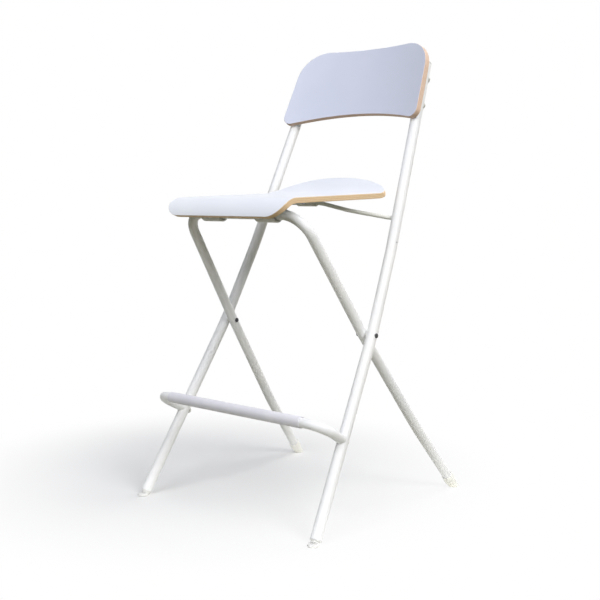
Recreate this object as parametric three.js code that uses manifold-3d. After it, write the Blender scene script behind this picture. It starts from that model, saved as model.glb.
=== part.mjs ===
// Folding bar stool: two bent-tube frames that cross like scissors, a moulded plywood seat and
// backrest, and a thin link rod that ties the seat to the main frame.
// Millimetres, +Z up. The sitter faces -Y and the sitter's left is +X.
// Every place is measured from the floor under the front feet. The finished stool is then
// shifted so that its origin lies on the floor under the middle of its box.

import * as THREE from 'three';
import { mergeVertices } from 'three/addons/utils/BufferGeometryUtils.js';
import Module from 'manifold-3d';

const wasm = await Module();
wasm.setup();

// Fits and fineness, shared by every piece
const fitGap = 0.3;
const turningGap = 0.5;
const cutOverrun = 2;
const weldDistance = 0.0005;
const frameSides = 16;
const smallSides = 12;
const screwSides = 10;
const bendStepAngle = THREE.MathUtils.degToRad(18);

// Main frame: each tube runs from a front foot, past the crossing and the seat, to the backrest
const mainTubeDiameter = 22;
const mainTubeWall = 1.5;
const mainFootSpread = 235;
const mainPivotSpread = 201.6;
const mainPivotDepth = 212.8;
const mainPivotHeight = 357;
const mainKneeSpread = 187.6;
const mainKneeDepth = 293.5;
const mainKneeHeight = 520;
const mainTopSpread = 155.6;
const mainTopDepth = 457.5;
const mainTopHeight = 902;
const mainBendRadius = 600;

// Rear frame: one tube bent to a U, with its bar under the seat and its legs running backwards
const rearTubeDiameter = 20;
const rearTubeWall = 1.5;
const rearFootSpread = 223.6;
const rearFootDepth = 482.7;
const rearKneeSpread = 204.6;
const rearKneeDepth = 361.1;
const rearKneeHeight = 150;
const rearBarDepth = 57;
const rearBarHeight = 592.5;
const rearShoulderSpread = 154.5;
const rearShoulderRadius = 54;
const rearKneeRadius = 900;

// Crossing pivots
const pivotShankDiameter = 6;
const pivotHeadDiameter = 9.6;
const pivotHeadHeight = 2.4;
const pivotSpacerDiameter = 13;
const pivotTubeGap = 2;

// Small drain hole that the coated tubes have below the seat
const drainHoleDiameter = 3.6;
const drainHoleHeight = 534;

// Front feet
const footTubeEndHeight = 9;
const footInsertLength = 26;
const footCollarThickness = 1.2;
const footNeckDiameter = 17;
const footPadLength = 24;
const footPadWidth = 22;
const footPadHeight = 5.5;
const footPadForward = 4;

// Rear feet
const rearTubeEndHeight = 13;
const rearCapWall = 1.6;
const rearCapGrip = 21;
const rearCapRimRadius = 0.9;
const rearCapSoleDiameter = 20;
const rearCapFlareHeight = 4;

// Caps in the upper ends of the main tubes
const topCapInsertLength = 12;
const topCapDomeHeight = 4;

// Footrest: a tube bent to a U that rises forwards from the main tubes, with a sleeve on its bar
const footrestDiameter = 19;
const footrestWall = 1.5;
const footrestJointHeight = 171.6;
const footrestBarDepth = 30.5;
const footrestBarHeight = 212.4;
const footrestCornerSpread = 230.5;
const footrestBendRadius = 40;
const footrestSleeveLength = 358;
const footrestSleeveWall = 1.2;
const footrestPlugLength = 16;
const footrestScrewDiameter = 6;
const footrestHeadDiameter = 12;
const footrestHeadHeight = 3.6;

// Backrest panel
const backThickness = 12;
const backBottomHalfWidth = 183.7;
const backTopHalfWidth = 169.4;
const backHeight = 184.8;
const backBottomArch = 29.8;
const backTopCrown = 1.3;
const backBottomCornerRadius = 16.2;
const backTopCornerRadius = 71;
const backCurveRadius = 699;
const backBaseHeight = 776;
const backLowerScrewRise = 42;
const backUpperScrewRise = 97;
const backScrewDiameter = 6;
const backHeadDiameter = 12;
const backHeadHeight = 3.6;
const backInsertDiameter = 9;
const backInsertDepth = 9;

// Seat panel: its sizes are those of the flat blank, laid along the moulded profile
const seatThickness = 11;
const seatHalfWidth = 156;
const seatCrestDepth = 44.6;
const seatCrestHeight = 624.6;
const seatSlope = THREE.MathUtils.degToRad(1.8);
const seatLipRadius = 52.5;
const seatLipAngle = THREE.MathUtils.degToRad(69);
const seatFlatLength = 249;
const seatRearRadius = 91;
const seatRearAngle = THREE.MathUtils.degToRad(49);
const seatFrontCornerRadius = 37;
const seatRearReach = 73;
const seatRearFullness = 2.2;
const seatProfileStep = THREE.MathUtils.degToRad(8);

// Saddles that hold the seat on the rear frame's bar
const saddleSpread = 73;
const saddleLength = 50;
const saddleWall = 5;
const saddleFlangeReach = 26;
const saddleFlangeThickness = 5;
const saddleScrewOffset = 19;
const saddleScrewDiameter = 5;
const saddleHeadDiameter = 9;
const saddleHeadHeight = 2.6;

// Link rod and the clamps that hold it under the seat
const rodDiameter = 8;
const rodPivotDepth = 169.5;
const rodCornerSpread = 108;
const rodCornerRadius = 13;
const rodFlareSpread = 118;
const rodFlareDistance = 75;
const rodFlareRadius = 70;
const rodTipSpread = 163;
const rodTipRadius = 8;
const linkPivotHeight = 582.5;
const linkTipGap = 0.6;
const rodClampSpread = 73;
const rodClampLength = 46;
const rodClampWall = 2.2;
const rodClampFlangeReach = 17;
const rodClampFlangeThickness = 3;
const rodScrewOffset = 11.5;
const rodScrewDiameter = 4;
const rodHeadDiameter = 7.4;
const rodHeadHeight = 2.2;

// Threaded inserts in the seat's underside
const seatInsertDiameter = 8;
const seatInsertDepth = 8;
const seatInsertWall = 1.2;

// Bushes where the link rod meets the main tubes
const bushFlangeDiameter = 12;
const bushFlangeThickness = 1.2;
const bushBarrelDiameter = 9.6;
const bushBarrelLength = 5;

const sides = [['left', 1], ['right', -1]];
const screwEnds = [['front', -1], ['rear', 1]];
const mainRadius = mainTubeDiameter / 2;
const rearRadius = rearTubeDiameter / 2;
const footrestRadius = footrestDiameter / 2;
const rodRadius = rodDiameter / 2;

// Colours
const coatWhite = { color: 0xf1f1ef, roughness: 0.38, metalness: 0 };
const laminateWhite = { color: 0xe9ecf3, roughness: 0.42, metalness: 0 };
const plasticWhite = { color: 0xf0eee6, roughness: 0.5, metalness: 0 };
const sleeveGrey = { color: 0xe2e2e6, roughness: 0.55, metalness: 0 };
const zincGrey = { color: 0x8f9193, roughness: 0.35, metalness: 0.9 };

const stool = new THREE.Group();

function addPiece(name, geometry, finish) {
  const mesh = new THREE.Mesh(geometry, new THREE.MeshStandardMaterial(finish));
  mesh.name = name;
  stool.add(mesh);
}

// Turns a closed mesh right side out, so that its volume is positive
function faceOutwards(geometry) {
  const place = geometry.attributes.position;
  const index = geometry.index;
  const corner = [new THREE.Vector3(), new THREE.Vector3(), new THREE.Vector3()];
  let volume = 0;
  for (let i = 0; i < index.count; i += corner.length) {
    corner.forEach((point, k) => point.fromBufferAttribute(place, index.getX(i + k)));
    volume += corner[0].dot(corner[1].cross(corner[2]));
  }
  if (volume < 0) {
    for (let i = 0; i < index.count; i += corner.length) {
      const first = index.getX(i);
      index.setX(i, index.getX(i + 1));
      index.setX(i + 1, first);
    }
  }
  return geometry;
}

// Keeps only the places and joins vertices that coincide
function welded(geometry) {
  const bare = geometry.clone();
  bare.deleteAttribute('normal');
  bare.deleteAttribute('uv');
  return faceOutwards(mergeVertices(bare, weldDistance));
}

function toSolid(geometry) {
  const closed = welded(geometry);
  return new wasm.Manifold(new wasm.Mesh({
    numProp: 3,
    vertProperties: new Float32Array(closed.attributes.position.array),
    triVerts: new Uint32Array(closed.index.array),
  }));
}

function toGeometry(solid) {
  const mesh = solid.getMesh();
  const geometry = new THREE.BufferGeometry();
  geometry.setAttribute('position', new THREE.BufferAttribute(mesh.vertProperties, 3));
  geometry.setIndex(new THREE.BufferAttribute(mesh.triVerts, 1));
  return geometry;
}

function joined(geometries) {
  return geometries.map(toSolid).reduce((whole, part) => whole.add(part));
}

// How much of a straight run a bend may take, where the run ends free or is shared by two bends
const freeRunShare = 0.9;
const sharedRunShare = 0.48;

// The rounding of a corner: its turn, and its radius as far as the room beside it lets it be
function bendAt(before, corner, after, wantedRadius, room) {
  const back = before.clone().sub(corner).normalize();
  const ahead = after.clone().sub(corner).normalize();
  const turn = Math.PI - back.angleTo(ahead);
  const reach = Math.min(wantedRadius * Math.tan(turn / 2), room);
  const middle = back.clone().add(ahead).normalize();
  return { back, ahead, turn, reach, radius: reach / Math.tan(turn / 2), middle };
}

// The corner whose rounding has its middle at a place, found by moving it outwards a few times
function cornerThrough(before, place, after, wantedRadius) {
  const corner = place.clone();
  const room = Math.min(before.distanceTo(place), after.distanceTo(place)) * sharedRunShare;
  const tries = 4;
  for (let i = 0; i < tries; i += 1) {
    const { reach, radius, middle } = bendAt(before, corner, after, wantedRadius, room);
    corner.copy(place).addScaledVector(middle, radius - Math.hypot(radius, reach));
  }
  return corner;
}

// A path of straight runs whose corners are rounded to a bend radius. Its stations lie only
// where the path turns, so a straight run costs one step. A short run tightens its bends.
class BentPath extends THREE.Curve {
  constructor(corners, radii) {
    super();
    this.stations = [corners[0]];
    const runShare = (k) => (k === 0 || k === radii.length ? freeRunShare : sharedRunShare);
    const room = (k) => corners[k].distanceTo(corners[k + 1]) * runShare(k);
    radii.forEach((radius, k) => this.round(corners[k], corners[k + 1], corners[k + 2], radius,
      Math.min(room(k), room(k + 1))));
    this.stations.push(corners[corners.length - 1]);
  }

  round(before, corner, after, wantedRadius, room) {
    const { back, ahead, turn, reach, radius, middle } = bendAt(before, corner, after, wantedRadius,
      room);
    const centre = corner.clone().addScaledVector(middle, Math.hypot(radius, reach));
    const start = corner.clone().addScaledVector(back, reach).sub(centre);
    const axis = back.clone().cross(ahead).normalize();
    const steps = Math.max(2, Math.ceil(turn / bendStepAngle));
    for (let i = 0; i <= steps; i += 1) {
      this.stations.push(start.clone().applyAxisAngle(axis, -turn * i / steps).add(centre));
    }
  }

  get steps() {
    return this.stations.length - 1;
  }

  direction(k) {
    const from = this.stations[Math.max(0, Math.min(k, this.steps - 1))];
    const to = this.stations[Math.max(0, Math.min(k, this.steps - 1)) + 1];
    return to.clone().sub(from).normalize();
  }

  getPoint(t, target = new THREE.Vector3()) {
    const along = t * this.steps;
    const k = Math.min(Math.floor(along), this.steps - 1);
    return target.lerpVectors(this.stations[k], this.stations[k + 1], along - k);
  }

  getTangent(t, target = new THREE.Vector3()) {
    const k = Math.round(t * this.steps);
    return target.copy(this.direction(k - 1)).add(this.direction(k)).normalize();
  }

  getUtoTmapping(u) {
    return u;
  }
}

function circlePoints(radius, count) {
  const shape = new THREE.Shape();
  shape.absarc(0, 0, radius, 0, 2 * Math.PI);
  return shape.getPoints(count / 2).slice(0, count);
}

// A round bar along a path, or a tube where an inner radius is given
function sweep(path, radius, innerRadius, count) {
  const shape = new THREE.Shape(circlePoints(radius, count));
  if (innerRadius > 0) shape.holes.push(new THREE.Path(circlePoints(innerRadius, count)));
  return new THREE.ExtrudeGeometry(shape, {
    steps: path.steps, extrudePath: path, bevelEnabled: false,
  });
}

// A turned piece: radius and height pairs about an axis that starts at a place
function turned(profile, place, direction, count) {
  const points = profile.map(([radius, height]) => new THREE.Vector2(radius, height));
  const geometry = new THREE.LatheGeometry(points, count);
  const turn = new THREE.Quaternion().setFromUnitVectors(new THREE.Vector3(0, 1, 0),
    direction.clone().normalize());
  return geometry.applyQuaternion(turn).translate(place.x, place.y, place.z);
}

function roundBar(place, direction, radius, from, to, count) {
  return turned([[0, from], [radius, from], [radius, to], [0, to]], place, direction, count);
}

// Everything below the floor, which trims the feet flat
function belowFloor() {
  const size = 2 * mainTopHeight;
  return new THREE.BoxGeometry(size, size, size).translate(0, 0, -size / 2);
}

function lerpLine(from, to, height) {
  return from.clone().lerp(to, (height - from.z) / (to.z - from.z));
}

function pivotPlace(side) {
  return new THREE.Vector3(side * mainPivotSpread, mainPivotDepth, mainPivotHeight);
}

// Main tube of one side: the corners of its axis, whose lower bend passes through the pivot
function mainCorners(side) {
  const floor = new THREE.Vector3(side * mainFootSpread, 0, 0);
  const knee = new THREE.Vector3(side * mainKneeSpread, mainKneeDepth, mainKneeHeight);
  const top = new THREE.Vector3(side * mainTopSpread, mainTopDepth, mainTopHeight);
  return [floor, cornerThrough(floor, pivotPlace(side), knee, mainBendRadius), knee, top];
}

function mainPath(side) {
  const [floor, bend, knee, top] = mainCorners(side);
  const end = lerpLine(floor, bend, footTubeEndHeight);
  return new BentPath([end, bend, knee, top], [mainBendRadius, mainBendRadius]);
}

// The place on a main tube's axis at a height, leaving out the small rounding of its bends
function mainAxisAt(side, height) {
  const [floor, bend, knee, top] = mainCorners(side);
  if (height < bend.z) return lerpLine(floor, bend, height);
  return height < mainKneeHeight ? lerpLine(bend, knee, height) : lerpLine(knee, top, height);
}

const rearPivotSpread = mainPivotSpread - mainRadius - pivotTubeGap - rearRadius;
const rearLegTaper = (rearFootSpread - rearShoulderSpread) / rearBarHeight;

const across = new THREE.Vector3(1, 0, 0);
const upright = new THREE.Vector3(0, 0, 1);
const linkDepth = mainAxisAt(1, linkPivotHeight).y;

// Backrest: it is bent about an axis that leans with the tubes, and its back lies on them
const upperRun = mainCorners(1)[3].clone().sub(mainCorners(1)[2]);
const upperRise = upperRun.y / upperRun.z;
const upperTaper = -upperRun.x / upperRun.z;
const backContactPlace = mainAxisAt(1, backBaseHeight + (backLowerScrewRise + backUpperScrewRise) / 2);
const backDrift = upperTaper * backContactPlace.x / backCurveRadius;
const backLean = Math.acos(backDrift / Math.hypot(upperRise, 1)) - Math.atan(1 / upperRise);
const backUp = new THREE.Vector3(0, Math.sin(backLean), Math.cos(backLean));
const backRearward = new THREE.Vector3(0, Math.cos(backLean), -Math.sin(backLean));

function backSetForward(spread) {
  return backCurveRadius - Math.sqrt(backCurveRadius ** 2 - spread ** 2);
}

// Rearward direction square to the curved panel at a distance from its middle
function backNormal(spread) {
  const lean = Math.asin(spread / backCurveRadius);
  return across.clone().multiplyScalar(Math.sin(lean)).addScaledVector(backRearward, Math.cos(lean));
}

const backTubeReach = (mainRadius + fitGap) / Math.cos(Math.asin(backContactPlace.x / backCurveRadius));
const backMiddleRearward = backContactPlace.dot(backRearward)
  - backTubeReach - backThickness + backSetForward(backContactPlace.x);
const backBaseUp = (backBaseHeight + backMiddleRearward * Math.sin(backLean)) / Math.cos(backLean);

// A point of the backrest from its distance sideways, its rise and its depth behind the front
function backPlace(spread, rise, depth) {
  return across.clone().multiplyScalar(spread)
    .addScaledVector(backUp, backBaseUp + rise)
    .addScaledVector(backRearward, backMiddleRearward - backSetForward(spread))
    .addScaledVector(backNormal(spread), depth);
}

// Points round a corner of a flat outline
function roundedCorner(before, corner, after, radius) {
  const flat = (point) => new THREE.Vector3(point[0], point[1], 0);
  const path = new BentPath([flat(before), flat(corner), flat(after)], [radius]);
  return path.stations.slice(1, -1).map((point) => [point.x, point.y]);
}

// A moulded panel of even thickness: straight rulings joined side by side. The outline is one
// half of it, from the lowest to the highest station, as station and half-width pairs.
function ruledPanel(rulings, place, nearDepth, farDepth) {
  const points = [];
  rulings.forEach(({ station, low, high }) => {
    points.push(place(station, low, nearDepth), place(station, high, nearDepth),
      place(station, high, farDepth), place(station, low, farDepth));
  });
  const faces = [];
  const ring = 4;
  for (let k = 0; k < rulings.length - 1; k += 1) {
    for (let i = 0; i < ring; i += 1) {
      const a = k * ring + i;
      const b = k * ring + (i + 1) % ring;
      faces.push(a, b, b + ring, a, b + ring, a + ring);
    }
  }
  const last = (rulings.length - 1) * ring;
  faces.push(0, 2, 1, 0, 3, 2, last, last + 1, last + 2, last, last + 2, last + 3);
  const geometry = new THREE.BufferGeometry().setFromPoints(points);
  geometry.setIndex(faces);
  return geometry;
}

function interpolate(points, at) {
  const k = Math.max(1, points.findIndex((point) => point[0] >= at));
  const [a, b] = [points[k - 1], points[k]];
  return b[0] === a[0] ? b[1] : a[1] + (b[1] - a[1]) * (at - a[0]) / (b[0] - a[0]);
}

// Backrest outline: its rulings run up the panel, so a station is a distance sideways
function backRulings() {
  const arch = (spread) => backBottomArch * (1 - (spread / backBottomHalfWidth) ** 2);
  const archShare = 0.85;
  const archEnd = [backBottomHalfWidth * archShare, arch(backBottomHalfWidth * archShare)];
  const bottomCorner = [backBottomHalfWidth, 0];
  const topCorner = [backTopHalfWidth, backHeight];
  const crown = [0, backHeight + backTopCrown];
  const lowBend = roundedCorner(archEnd, bottomCorner, topCorner, backBottomCornerRadius);
  const highBend = roundedCorner(crown, topCorner, bottomCorner, backTopCornerRadius);
  const widest = lowBend.reduce((best, point) => (point[0] > best[0] ? point : best));
  const bottomSteps = 10;
  const bottom = [];
  for (let i = 0; i <= bottomSteps; i += 1) {
    const spread = lowBend[0][0] * i / bottomSteps;
    bottom.push([spread, Math.min(arch(spread), backBottomArch)]);
  }
  const low = [...bottom, ...lowBend.filter((point) => point[0] <= widest[0])
    .slice(0, lowBend.indexOf(widest) + 1).slice(1)];
  const high = [crown, ...highBend, ...lowBend.slice(lowBend.indexOf(widest)).reverse()];
  const spreads = [...low, ...high].map((point) => point[0]).sort((a, b) => a - b);
  const stations = spreads.filter((spread, k) => k === 0 || spread - spreads[k - 1] > fitGap);
  stations[stations.length - 1] = widest[0] - weldDistance;
  const half = stations.map((spread) => ({
    station: spread, low: interpolate(low, spread), high: interpolate(high, spread),
  }));
  const mirrored = half.slice(1).reverse().map((ruling) => ({ ...ruling, station: -ruling.station }));
  return [...mirrored, ...half];
}

// Seat profile: the front lip rolls down, the middle is nearly level and the rear turns up
const seatLipLength = seatLipRadius * seatLipAngle;
const seatRearStart = seatLipLength + seatFlatLength;
const seatLength = seatRearStart + seatRearRadius * seatRearAngle;
const seatAhead = new THREE.Vector3(0, Math.cos(seatSlope), Math.sin(seatSlope));
const seatUp = new THREE.Vector3(0, -Math.sin(seatSlope), Math.cos(seatSlope));
const seatCrest = new THREE.Vector3(0, seatCrestDepth, seatCrestHeight);

// A point of the seat from its distance along the profile, sideways, and below the top face
function seatPlace(along, spread, depth) {
  const lip = Math.max(0, seatLipLength - along) / seatLipRadius;
  const rise = Math.max(0, along - seatRearStart) / seatRearRadius;
  const level = Math.min(Math.max(along - seatLipLength, 0), seatFlatLength);
  const angle = rise + lip;
  const ahead = level - seatLipRadius * Math.sin(lip) + seatRearRadius * Math.sin(rise);
  const above = seatRearRadius * (1 - Math.cos(rise)) - seatLipRadius * (1 - Math.cos(lip));
  return seatCrest.clone()
    .addScaledVector(across, spread)
    .addScaledVector(seatAhead, ahead + depth * Math.sin(angle))
    .addScaledVector(seatUp, above - depth * Math.cos(angle));
}

// The seat's distance along the flat part that lies over a depth of the stool
function seatAlong(depth) {
  return seatLipLength + (depth - seatCrestDepth) / Math.cos(seatSlope);
}

// Seat outline: its rulings run across, so a station is a distance along the profile. The front
// corners are round and the rear is one even curve, a superellipse.
function seatRulings() {
  const front = seatHalfWidth - seatFrontCornerRadius;
  const cornerSteps = 7;
  const outline = [];
  for (let i = 0; i <= cornerSteps; i += 1) {
    const turn = Math.PI / 2 * i / cornerSteps;
    outline.push([seatFrontCornerRadius * (1 - Math.cos(turn)),
      front + seatFrontCornerRadius * Math.sin(turn)]);
  }
  const rearSteps = 14;
  const rearTurn = THREE.MathUtils.degToRad(84);
  const power = 2 / seatRearFullness;
  for (let i = 0; i <= rearSteps; i += 1) {
    const turn = rearTurn * i / rearSteps;
    outline.push([seatLength - seatRearReach * (1 - Math.sin(turn) ** power),
      seatHalfWidth * Math.cos(turn) ** power]);
  }
  const stations = outline.map((point) => point[0]);
  const bend = (start, angle, radius) => {
    const steps = Math.ceil(angle / seatProfileStep);
    for (let i = 0; i <= steps; i += 1) stations.push(start + radius * angle * i / steps);
  };
  bend(0, seatLipAngle, seatLipRadius);
  bend(seatRearStart, seatRearAngle, seatRearRadius);
  stations.sort((a, b) => a - b);
  const end = outline[outline.length - 1][0];
  return stations
    .filter((along, k) => along <= end && (k === 0 || along - stations[k - 1] > fitGap))
    .map((along) => ({
      station: along, low: -interpolate(outline, along), high: interpolate(outline, along),
    }));
}

// The space that the seat fills, with a gap below it, for cutting what lies against its underside
function seatCutter() {
  return toSolid(ruledPanel(seatRulings(), seatPlace, -saddleFlangeReach, seatThickness + fitGap));
}

const rodPivot = seatPlace(seatAlong(rodPivotDepth), 0, seatThickness + turningGap + rodRadius);
const rearBar = new THREE.Vector3(0, rearBarDepth, rearBarHeight);
const linkPivot = new THREE.Vector3(0, linkDepth, linkPivotHeight);

// Main tubes, with holes for the pivots, the screws, the link bushes and the coating's drain
function backScrewLine(side, rise) {
  const start = mainAxisAt(side, backBaseHeight + rise);
  return { place: start, normal: backNormal(start.x) };
}

const backScrewRows = [['lower', backLowerScrewRise], ['upper', backUpperScrewRise]];

function footrestJoint(side) {
  return mainAxisAt(side, footrestJointHeight);
}

function footrestCorner(side) {
  return new THREE.Vector3(side * footrestCornerSpread, footrestBarDepth, footrestBarHeight);
}

function footrestArm(side) {
  return footrestCorner(side).sub(footrestJoint(side)).normalize();
}

function mainTube(side) {
  const bore = (place, direction, diameter, from, to) => toSolid(
    roundBar(place, direction, diameter / 2 + fitGap, from, to, smallSides));
  const through = mainTubeDiameter;
  const drain = mainAxisAt(side, drainHoleHeight);
  const link = mainAxisAt(side, linkPivotHeight);
  const cuts = [
    bore(pivotPlace(side), across, pivotShankDiameter, -through, through),
    bore(footrestJoint(side), footrestArm(side), footrestScrewDiameter, -through, through),
    bore(drain, across, drainHoleDiameter, side > 0 ? 0 : -through, side > 0 ? through : 0),
    bore(link, across, bushBarrelDiameter, side > 0 ? -through : 0, side > 0 ? 0 : through),
  ];
  backScrewRows.forEach(([, rise]) => {
    const { place, normal } = backScrewLine(side, rise);
    cuts.push(bore(place, normal, backScrewDiameter, -through, through));
  });
  const tube = toSolid(sweep(mainPath(side), mainRadius, mainRadius - mainTubeWall, frameSides));
  return cuts.reduce((whole, cut) => whole.subtract(cut), tube);
}

// Rear frame: one U-shaped tube, drawn from its right foot over the bar to its left foot
function rearCorners(side) {
  return [
    new THREE.Vector3(side * rearFootSpread, rearFootDepth, 0),
    new THREE.Vector3(side * rearKneeSpread, rearKneeDepth, rearKneeHeight),
    new THREE.Vector3(side * rearPivotSpread, mainPivotDepth, mainPivotHeight),
    new THREE.Vector3(side * rearShoulderSpread, rearBarDepth, rearBarHeight),
  ];
}

function rearEnd(side) {
  const [floor, knee] = rearCorners(side);
  return lerpLine(floor, knee, rearTubeEndHeight);
}

function rearFrameTube() {
  const right = rearCorners(-1);
  const left = rearCorners(1);
  const corners = [rearEnd(-1), ...right.slice(1), ...left.slice(1).reverse(), rearEnd(1)];
  const radii = [rearKneeRadius, rearKneeRadius, rearShoulderRadius,
    rearShoulderRadius, rearKneeRadius, rearKneeRadius];
  const tube = toSolid(sweep(new BentPath(corners, radii), rearRadius, rearRadius - rearTubeWall,
    frameSides));
  const hole = roundBar(new THREE.Vector3(0, mainPivotDepth, mainPivotHeight), across,
    pivotShankDiameter / 2 + turningGap, -mainFootSpread, mainFootSpread, smallSides);
  return tube.subtract(toSolid(hole));
}

// Pivot rivet: a domed head outside the main tube, a shank and a domed head inside the rear one
function pivotRivet(side) {
  const shank = pivotShankDiameter / 2;
  const head = pivotHeadDiameter / 2;
  const outer = mainRadius;
  const innerFace = mainPivotSpread - rearPivotSpread + rearRadius + fitGap + head * rearLegTaper;
  const domeShare = 0.72;
  const profile = [
    [0, -innerFace - pivotHeadHeight],
    [head * domeShare, -innerFace - pivotHeadHeight * domeShare],
    [head, -innerFace],
    [shank, -innerFace],
    [shank, outer - head / 2],
    [head, outer - head / 2],
    [head, outer + fitGap],
    [head * domeShare, outer + pivotHeadHeight * domeShare],
    [0, outer + pivotHeadHeight],
  ];
  const rivet = toSolid(turned(profile, pivotPlace(side), across.clone().multiplyScalar(side),
    smallSides));
  const tube = toSolid(sweep(mainPath(side), mainRadius + fitGap, 0, frameSides));
  const shankOnly = toSolid(roundBar(pivotPlace(side), across.clone().multiplyScalar(side), shank,
    -innerFace, outer + pivotHeadHeight / 2, smallSides));
  return rivet.subtract(tube).add(shankOnly);
}

// Pivot spacer: hollowed to sit on the main tube, flat where the rear tube turns against it
function pivotSpacer(side) {
  const inwards = across.clone().multiplyScalar(-side);
  const flat = mainRadius + pivotTubeGap - fitGap - pivotSpacerDiameter / 2 * rearLegTaper;
  const disc = toSolid(roundBar(pivotPlace(side), inwards, pivotSpacerDiameter / 2, mainRadius / 2, flat,
    smallSides));
  const tube = toSolid(sweep(mainPath(side), mainRadius + fitGap, 0, frameSides));
  const hole = toSolid(roundBar(pivotPlace(side), inwards, pivotShankDiameter / 2 + fitGap, 0,
    mainTubeDiameter + cutOverrun, smallSides));
  return disc.subtract(tube).subtract(hole);
}

// Front foot: a stem in the tube, a collar against its end, a neck and an oval pad on the floor
function frontFoot(side) {
  const [floor, bend] = mainCorners(side);
  const up = bend.clone().sub(floor).normalize();
  const end = lerpLine(floor, bend, footTubeEndHeight);
  const stem = roundBar(end, up, mainRadius - mainTubeWall - fitGap, -footCollarThickness,
    footInsertLength, smallSides);
  const collar = roundBar(end, up, mainRadius, -fitGap - footCollarThickness, -fitGap, frameSides);
  const neck = roundBar(end, up, footNeckDiameter / 2, -end.distanceTo(floor), -fitGap, smallSides);
  const oval = new THREE.Shape();
  oval.absellipse(0, 0, footPadWidth / 2, footPadLength / 2, 0, 2 * Math.PI);
  const pad = new THREE.ExtrudeGeometry(new THREE.Shape(oval.getPoints(frameSides / 2).slice(0, -1)), {
    depth: footPadHeight, bevelEnabled: false,
  }).translate(floor.x, floor.y - footPadForward + up.y * footPadHeight / 2, 0);
  return joined([stem, collar, neck, pad]).subtract(toSolid(belowFloor()));
}

// Rear foot: a cup round the tube's end. It narrows to a closed sole that the floor trims flat.
function rearFoot(side) {
  const [floor, knee] = rearCorners(side);
  const up = knee.clone().sub(floor).normalize();
  const end = lerpLine(floor, knee, rearTubeEndHeight);
  const bore = rearRadius + fitGap;
  const outer = bore + rearCapWall;
  const below = -end.distanceTo(floor) - outer * 2;
  const profile = [
    [0, below],
    [rearCapSoleDiameter / 2, below],
    [rearCapSoleDiameter / 2, -rearCapFlareHeight],
    [outer, rearCapFlareHeight],
    [outer, rearCapGrip - rearCapRimRadius],
    [outer - rearCapRimRadius, rearCapGrip],
    [bore, rearCapGrip],
    [bore, -fitGap],
    [0, -fitGap],
  ];
  return toSolid(turned(profile, end, up, frameSides)).subtract(toSolid(belowFloor()));
}

// Cap in a main tube's upper end
function topCap(side) {
  const [, , knee, top] = mainCorners(side);
  const up = top.clone().sub(knee).normalize();
  const stem = mainRadius - mainTubeWall - fitGap;
  const edgeShare = 0.8;
  const profile = [
    [0, -topCapInsertLength],
    [stem, -topCapInsertLength],
    [stem, fitGap],
    [mainRadius, fitGap],
    [mainRadius, topCapDomeHeight / 2],
    [mainRadius * edgeShare, topCapDomeHeight],
    [0, topCapDomeHeight],
  ];
  return turned(profile, top, up, frameSides);
}

// Footrest: both ends are hollowed to sit on the fronts of the main tubes
function footrestPath() {
  const corners = [footrestJoint(-1), footrestCorner(-1), footrestCorner(1), footrestJoint(1)];
  return new BentPath(corners, [footrestBendRadius, footrestBendRadius]);
}

function mainTubeSpace(side) {
  return toSolid(sweep(mainPath(side), mainRadius + fitGap, 0, frameSides));
}

function footrestTube() {
  const tube = toSolid(sweep(footrestPath(), footrestRadius, footrestRadius - footrestWall,
    frameSides));
  return tube.subtract(mainTubeSpace(1)).subtract(mainTubeSpace(-1));
}

function footrestSleeve() {
  const bore = footrestRadius + fitGap;
  const outer = bore + footrestSleeveWall;
  const half = footrestSleeveLength / 2;
  const profile = [[bore, -half], [outer, -half], [outer, half], [bore, half], [bore, -half]];
  const middle = new THREE.Vector3(0, footrestBarDepth, footrestBarHeight);
  return turned(profile, middle, across, frameSides);
}

// Threaded plug inside a footrest end, which the screw through the main tube draws up
function footrestPlug(side) {
  const start = mainRadius;
  const plug = toSolid(roundBar(footrestJoint(side), footrestArm(side),
    footrestRadius - footrestWall - fitGap, start / 2, start + footrestPlugLength, smallSides));
  const hole = toSolid(roundBar(footrestJoint(side), footrestArm(side),
    footrestScrewDiameter / 2 + fitGap, 0, start + footrestPlugLength + cutOverrun, smallSides));
  return plug.subtract(mainTubeSpace(side)).subtract(hole);
}

// A pan-head screw whose head faces backwards along its axis, at a distance from the place
function panScrew(place, direction, shank, head, headHeight, headAt, tip) {
  const roundShare = 0.75;
  const profile = [
    [0, headAt - headHeight],
    [head * roundShare, headAt - headHeight],
    [head, headAt - headHeight / 2],
    [head, headAt],
    [shank, headAt],
    [shank, tip],
    [0, tip],
  ];
  return turned(profile, place, direction, screwSides);
}

function footrestScrew(side) {
  const headAt = -Math.hypot(mainRadius, footrestHeadDiameter / 4);
  const screw = panScrew(footrestJoint(side), footrestArm(side), footrestScrewDiameter / 2,
    footrestHeadDiameter / 2, footrestHeadHeight, headAt, mainRadius + footrestPlugLength);
  const shankOnly = toSolid(roundBar(footrestJoint(side), footrestArm(side), footrestScrewDiameter / 2,
    headAt - footrestHeadHeight / 2, mainRadius + footrestPlugLength, screwSides));
  return toSolid(screw).subtract(mainTubeSpace(side)).add(shankOnly);
}

// Backrest panel with blind holes for its inserts
function backHole(side, rise, radius, from, to, count) {
  const { place, normal } = backScrewLine(side, rise);
  return roundBar(place, normal, radius, from, to, count);
}

const backFaceReach = mainRadius + fitGap;

function backrestPanel() {
  const panel = toSolid(ruledPanel(backRulings(), backPlace, 0, backThickness));
  const holes = sides.flatMap(([, side]) => backScrewRows.map(([, rise]) => toSolid(backHole(side,
    rise, backInsertDiameter / 2 + fitGap, -backFaceReach - backInsertDepth - fitGap, 0,
    smallSides))));
  return holes.reduce((whole, hole) => whole.subtract(hole), panel);
}

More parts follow.
